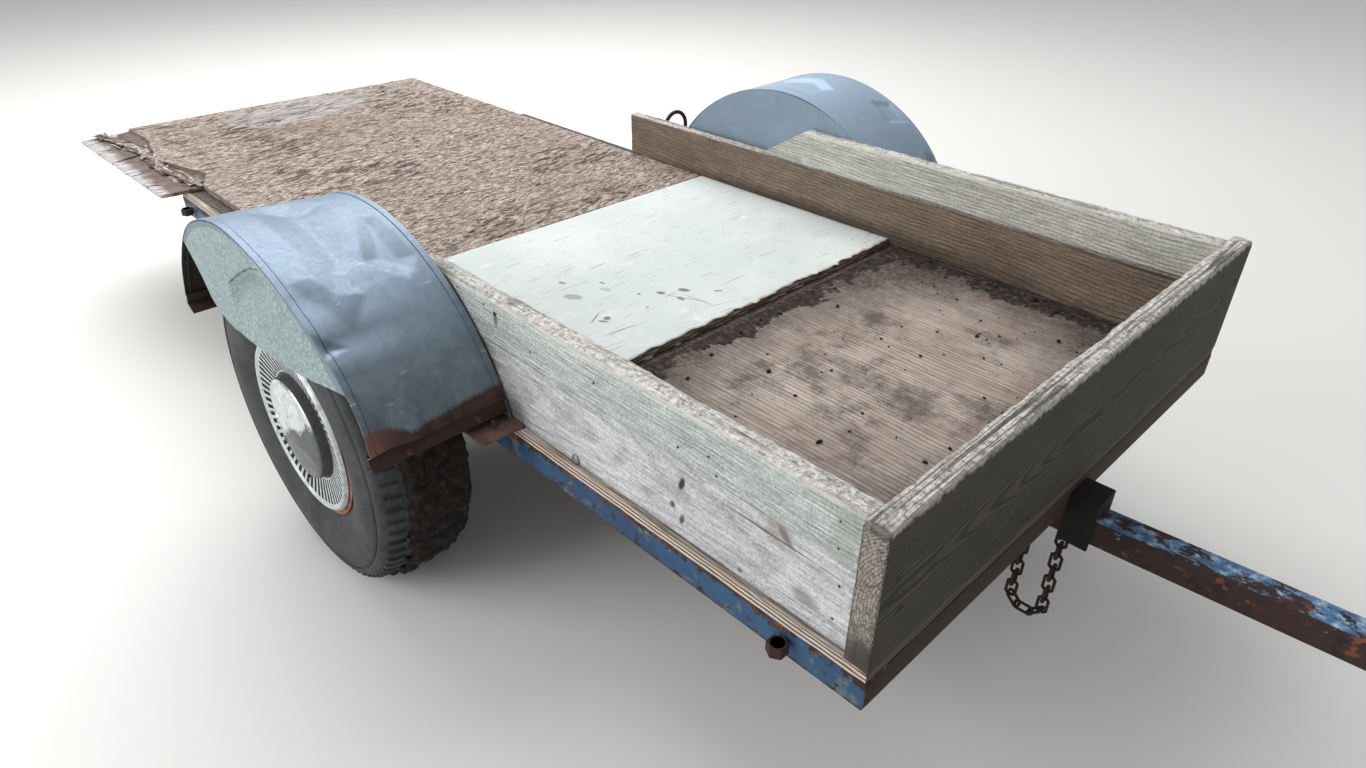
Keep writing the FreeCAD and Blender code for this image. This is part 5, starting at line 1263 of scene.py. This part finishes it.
def makeTread(side):  # lugs round the tyre, mud that bridges them on the inner half, and clods
    say = tyreSizes
    name = sideName(side)
    body = "wheel_" + name
    middle = spinAxis(side)
    shape = bmesh.new()
    draw = random.Random(31)
    for index in range(say["lugs"]):
        for across, drop, wide, long, lean, tall in say["lugRows"]:
            for flip in (-1, 1):
                turn = (index + (0.5 if flip < 0 else 0.0)) * math.tau / say["lugs"]
                radius = say["lugTop"] - tall / 2 - drop
                tilt = Matrix.Rotation(-side * flip * lean, 4, "X")
                skew = Matrix.Rotation(draw.uniform(-0.05, 0.05), 4, "Z")
                put = (Matrix.Translation(middle) @ Matrix.Rotation(-turn, 4, "Y")
                       @ Matrix.Translation((0, side * flip * across, 0)) @ Matrix.Rotation(math.pi / 2, 4, "Y")
                       @ Matrix.Translation((0, 0, radius)) @ tilt @ skew @ Matrix.Diagonal((long, wide, tall, 1.0)))
                bmesh.ops.create_cone(shape, cap_ends=True, segments=4, radius1=0.80, radius2=0.62, depth=1.0,
                                      matrix=put @ Matrix.Rotation(math.pi / 4, 4, "Z"))
    putPiece(shape, "tread_lugs_" + name, "tyre_rubber", body, sharp=20.0)
    spots = []
    for place in spread(say["mudFrom"], say["mudTo"], 0.0055):
        drop = 0.014 * min(abs(place) / 0.084, 1.0) ** 4 + 1.3 * max(0.0, abs(place) - 0.084)
        spots.append((say["lugTop"] - drop, -place))
    shape = spun(spots, side, say["mudSteps"])
    for vert in shape.verts:
        off = vert.co - middle
        radius = math.hypot(off.x, off.z)
        place = -side * off.y
        around = Vector((math.atan2(off.z, off.x), 0, 0))
        ragged = 0.010 * wobble(around, 7.0, 4.0) + 0.006 * wobble(around, 22.0, 5.0)
        share = min(1.0, max(0.0, (place - say["mudFrom"] - 0.004 + ragged) / 0.016))
        push = 0.0060 + 0.006 * wobble(vert.co, 15.0, 3.0) + 0.016 * abs(wobble(vert.co, 36.0, 5.0))
        push += 0.008 * abs(wobble(vert.co, 85.0, 7.0)) - 0.003
        push = min(max(push, 0.001), 0.0145) * share - 0.016 * (1 - share)
        scale = (radius + push) / radius
        vert.co.x = middle.x + off.x * scale
        vert.co.z = max(middle.z + off.z * scale, say["ground"])
    outwardOnly(shape, middle)
    bmesh.ops.solidify(shape, geom=shape.faces[:], thickness=0.004)
    putPiece(shape, "tyre_mud_" + name, "mud", body, sharp=60.0)
    shape = bmesh.new()
    for _ in range(say["clods"]):
        turn = draw.uniform(0, math.tau)
        place = say["mudFrom"] + draw.uniform(-0.002, 0.035) + abs(draw.gauss(0, 0.02))
        size = draw.uniform(0.003, 0.0085)
        put = (Matrix.Translation(middle) @ Matrix.Rotation(-turn, 4, "Y")
               @ Matrix.Translation((say["lugTop"] - 0.001, -side * place, 0))
               @ Matrix.Rotation(draw.uniform(0, 3), 4, "Z") @ Matrix.Rotation(draw.uniform(0, 3), 4, "X")
               @ Matrix.Diagonal((draw.uniform(0.7, 1.0), draw.uniform(0.9, 1.7), draw.uniform(0.7, 1.3), 1.0)))
        clod = bmesh.ops.create_icosphere(shape, subdivisions=2, radius=size, matrix=put)
        for vert in clod["verts"]:
            vert.co += vert.normal * size * 0.45 * wobble(vert.co, 140.0, 2.0)
            vert.co.z = max(vert.co.z, say["ground"])
    putPiece(shape, "tyre_clods_" + name, "clods", body, sharp=50.0)


for side, seed in ((-1, 1.0), (1, 6.0)):
    makeCover(side, seed)
    makeTread(side)
print("wheels done")


# Small hardware

def standing(place, outward, rise=0.0):  # puts a shape on a face, raised and turned outward
    outward = Vector(outward)
    return (Matrix.Translation(Vector(place) + outward * rise)
            @ outward.to_track_quat("Z", "Y").to_matrix().to_4x4())


def boltHead(shape, place, outward, radius, height):  # a domed head, set on its face
    bmesh.ops.create_uvsphere(shape, u_segments=16, v_segments=10, radius=radius,
                              matrix=standing(place, outward) @ Matrix.Diagonal((1.0, 1.0, height / radius, 1.0)))


def nutAndTail(shape, place, outward, size, tail):  # a hexagon nut with the bolt's end standing out of it
    bmesh.ops.create_cone(shape, cap_ends=True, segments=6, radius1=size, radius2=size, depth=size * 0.8,
                          matrix=standing(place, outward, size * 0.4))
    bmesh.ops.create_cone(shape, cap_ends=True, segments=16, radius1=size * 0.55, radius2=size * 0.5, depth=tail,
                          matrix=standing(place, outward, tail / 2))


tieNuts = dict(x=(0.885, -1.35), side=0.6275, z=0.420, across=0.0165, bore=0.0092, tall=0.019)


def makeTieNuts():
    say = tieNuts
    shape = bmesh.new()
    for x in say["x"]:
        for side in (-1, 1):
            middle = Vector((x, side * say["side"], say["z"]))
            step = Vector((0, 0, say["tall"] / 2))
            rings = []
            for radius, level in ((say["bore"], -1.0), (say["across"] - 0.0015, -1.0), (say["across"], -0.8),
                                  (say["across"], 0.8), (say["across"] - 0.0018, 1.0), (say["bore"] + 0.0015, 1.0),
                                  (say["bore"], 0.82)):
                ring = bmesh.ops.create_circle(shape, segments=6 if radius > 0.013 else 24, radius=radius,
                                               matrix=Matrix.Translation(middle + step * level))
                rings.append(list({edge for vert in ring["verts"] for edge in vert.link_edges}))
            for first, second in zip(rings, rings[1:] + rings[:1]):
                bmesh.ops.bridge_loops(shape, edges=first + second)
    bmesh.ops.recalc_face_normals(shape, faces=shape.faces[:])
    putPiece(shape, "tie_nuts_worn", "dark_steel", "trailer", ["tie_nuts"], 30.0)


hardware = dict(  # bolts (x, z) and nails (along the board, z); straps' nuts and wheels' lug nuts
    boltPlace=(0.415, 0.4685), strapInset=0.035, strapSides=(0.640, 0.585), bracketPlace=(0.222, 0.488),
    bracketSides=(0.665, 0.800), lugNuts=5, lugCircle=0.0508, lugSide=0.012, lugTurn=0.3,
    sideNails=((0.098, 0.676), (0.180, 0.672), (0.307, 0.630), (0.473, 0.645), (0.659, 0.622), (0.734, 0.612),
               (0.719, 0.637), (0.940, 0.660), (0.942, 0.618), (0.950, 0.560), (0.946, 0.500)),
    frontNails=((0.33, 0.630), (0.39, 0.466), (0.536, 0.476), (0.301, 0.481), (-0.015, 0.479), (-0.574, 0.602),
                (-0.554, 0.481), (-0.20, 0.475), (0.10, 0.470), (0.575, 0.62)))


def makeHardware():
    say = hardware
    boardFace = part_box("side_board_right_lower")[0][1]
    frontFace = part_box("front_board")[1][0]
    bolts, nails, nuts = bmesh.new(), bmesh.new(), bmesh.new()
    for side in (-1, 1):
        boltX, boltZ = say["boltPlace"]
        boltHead(bolts, (boltX, -side * boardFace, boltZ), (0, side, 0), 0.010, 0.005)
    putPiece(bolts, "board_bolts", "zinc_steel")
    for x, z in say["sideNails"]:
        boltHead(nails, (x, boardFace, z), (0, -1, 0), 0.0022, 0.0007)
    for y, z in say["frontNails"]:
        boltHead(nails, (frontFace, y, z), (1, 0, 0), 0.0026, 0.0007)
    putPiece(nails, "board_nails", "dark_steel")
    for side in (-1, 1):
        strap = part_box("fender_straps_" + sideName(side))
        outer, inner = say["strapSides"]
        for x in (strap[1][0] - say["strapInset"], strap[0][0] + say["strapInset"]):
            nutAndTail(nuts, (x, side * outer, strap[1][2]), (0, 0, 1), 0.008, 0.011)
            nutAndTail(nuts, (x, side * inner, strap[0][2]), (0, 0, -1), 0.008, 0.010)
        for y in say["bracketSides"]:
            bracketX, bracketZ = say["bracketPlace"]
            nutAndTail(nuts, (bracketX, side * y, bracketZ), (1, 0, -0.25), 0.007, 0.010)
    putPiece(nuts, "strap_bolts", "brown_steel")
    for side in (-1, 1):
        lugs = bmesh.new()
        middle = spinAxis(side)
        for index in range(say["lugNuts"]):
            turn = math.tau * index / say["lugNuts"] + say["lugTurn"]
            place = (middle.x + say["lugCircle"] * math.cos(turn), middle.y + side * say["lugSide"],
                     middle.z + say["lugCircle"] * math.sin(turn))
            nutAndTail(lugs, place, (0, side, 0), 0.011, 0.018)
        putPiece(lugs, "lug_nuts_" + sideName(side), "brown_steel", "wheel_" + sideName(side))


makeTieNuts()
makeHardware()
print("hardware done")


# Floor, light and camera

stageSizes = dict(floorSize=60.0, floorColour=screen(90, 90, 89), sky=0.50,
                  lamps=(("keyLight", (-3.2, 1.2, 4.8), 300.0, 5.0), ("fillLight", (-1.6, -5.4, 2.9), 210.0, 4.0)))


def makeStage():
    say = stageSizes
    bpy.ops.mesh.primitive_plane_add(size=say["floorSize"])
    ground = bpy.context.object
    ground.name = "groundSheet"
    ground.data.materials.append(Finish("palePaper", 0.9, colour=say["floorColour"]).done())
    world = bpy.data.worlds.new("paleStudio")
    bpy.context.scene.world = world
    world.use_nodes = True
    light = world.node_tree.nodes["Background"]
    light.inputs["Color"].default_value = grey(1.0)
    light.inputs["Strength"].default_value = say["sky"]
    for name, place, power, size in say["lamps"]:
        lamp = bpy.data.lights.new(name, "AREA")
        lamp.energy = power
        lamp.size = size
        lampObject = bpy.data.objects.new(name, lamp)
        bpy.context.scene.collection.objects.link(lampObject)
        lampObject.location = place
        lampObject.rotation_euler = Vector(place).to_track_quat("Z", "Y").to_euler()


cameraSizes = dict(focal=884.46, photoWidth=1366, sensor=36.0, place=(1.38621, -1.30296, 1.35992), yaw=135.5199,
                   pitch=31.9934, roll=0.4137)  # focal in the photo's pixels, angles in degrees


def makeCamera():
    say = cameraSizes
    yaw, pitch, roll = (math.radians(say[name]) for name in ("yaw", "pitch", "roll"))
    ahead = Vector((math.cos(yaw) * math.cos(pitch), math.sin(yaw) * math.cos(pitch), -math.sin(pitch)))
    right = Vector((math.sin(yaw), -math.cos(yaw), 0.0))
    upward = right.cross(ahead)
    across = right * math.cos(roll) + upward * math.sin(roll)
    tall = upward * math.cos(roll) - right * math.sin(roll)
    lens = bpy.data.cameras.new("photoCamera")
    lens.sensor_width = say["sensor"]
    lens.lens = say["focal"] * say["sensor"] / say["photoWidth"]
    lens.clip_start = 0.05
    camera = bpy.data.objects.new("photoCamera", lens)
    bpy.context.scene.collection.objects.link(camera)
    turn = Matrix((across, tall, -ahead)).transposed().to_4x4()
    camera.matrix_world = Matrix.Translation(say["place"]) @ turn
    bpy.context.scene.camera = camera


makeStage()
makeCamera()
bpy.context.scene.view_settings.view_transform = "Standard"
print("stage set")
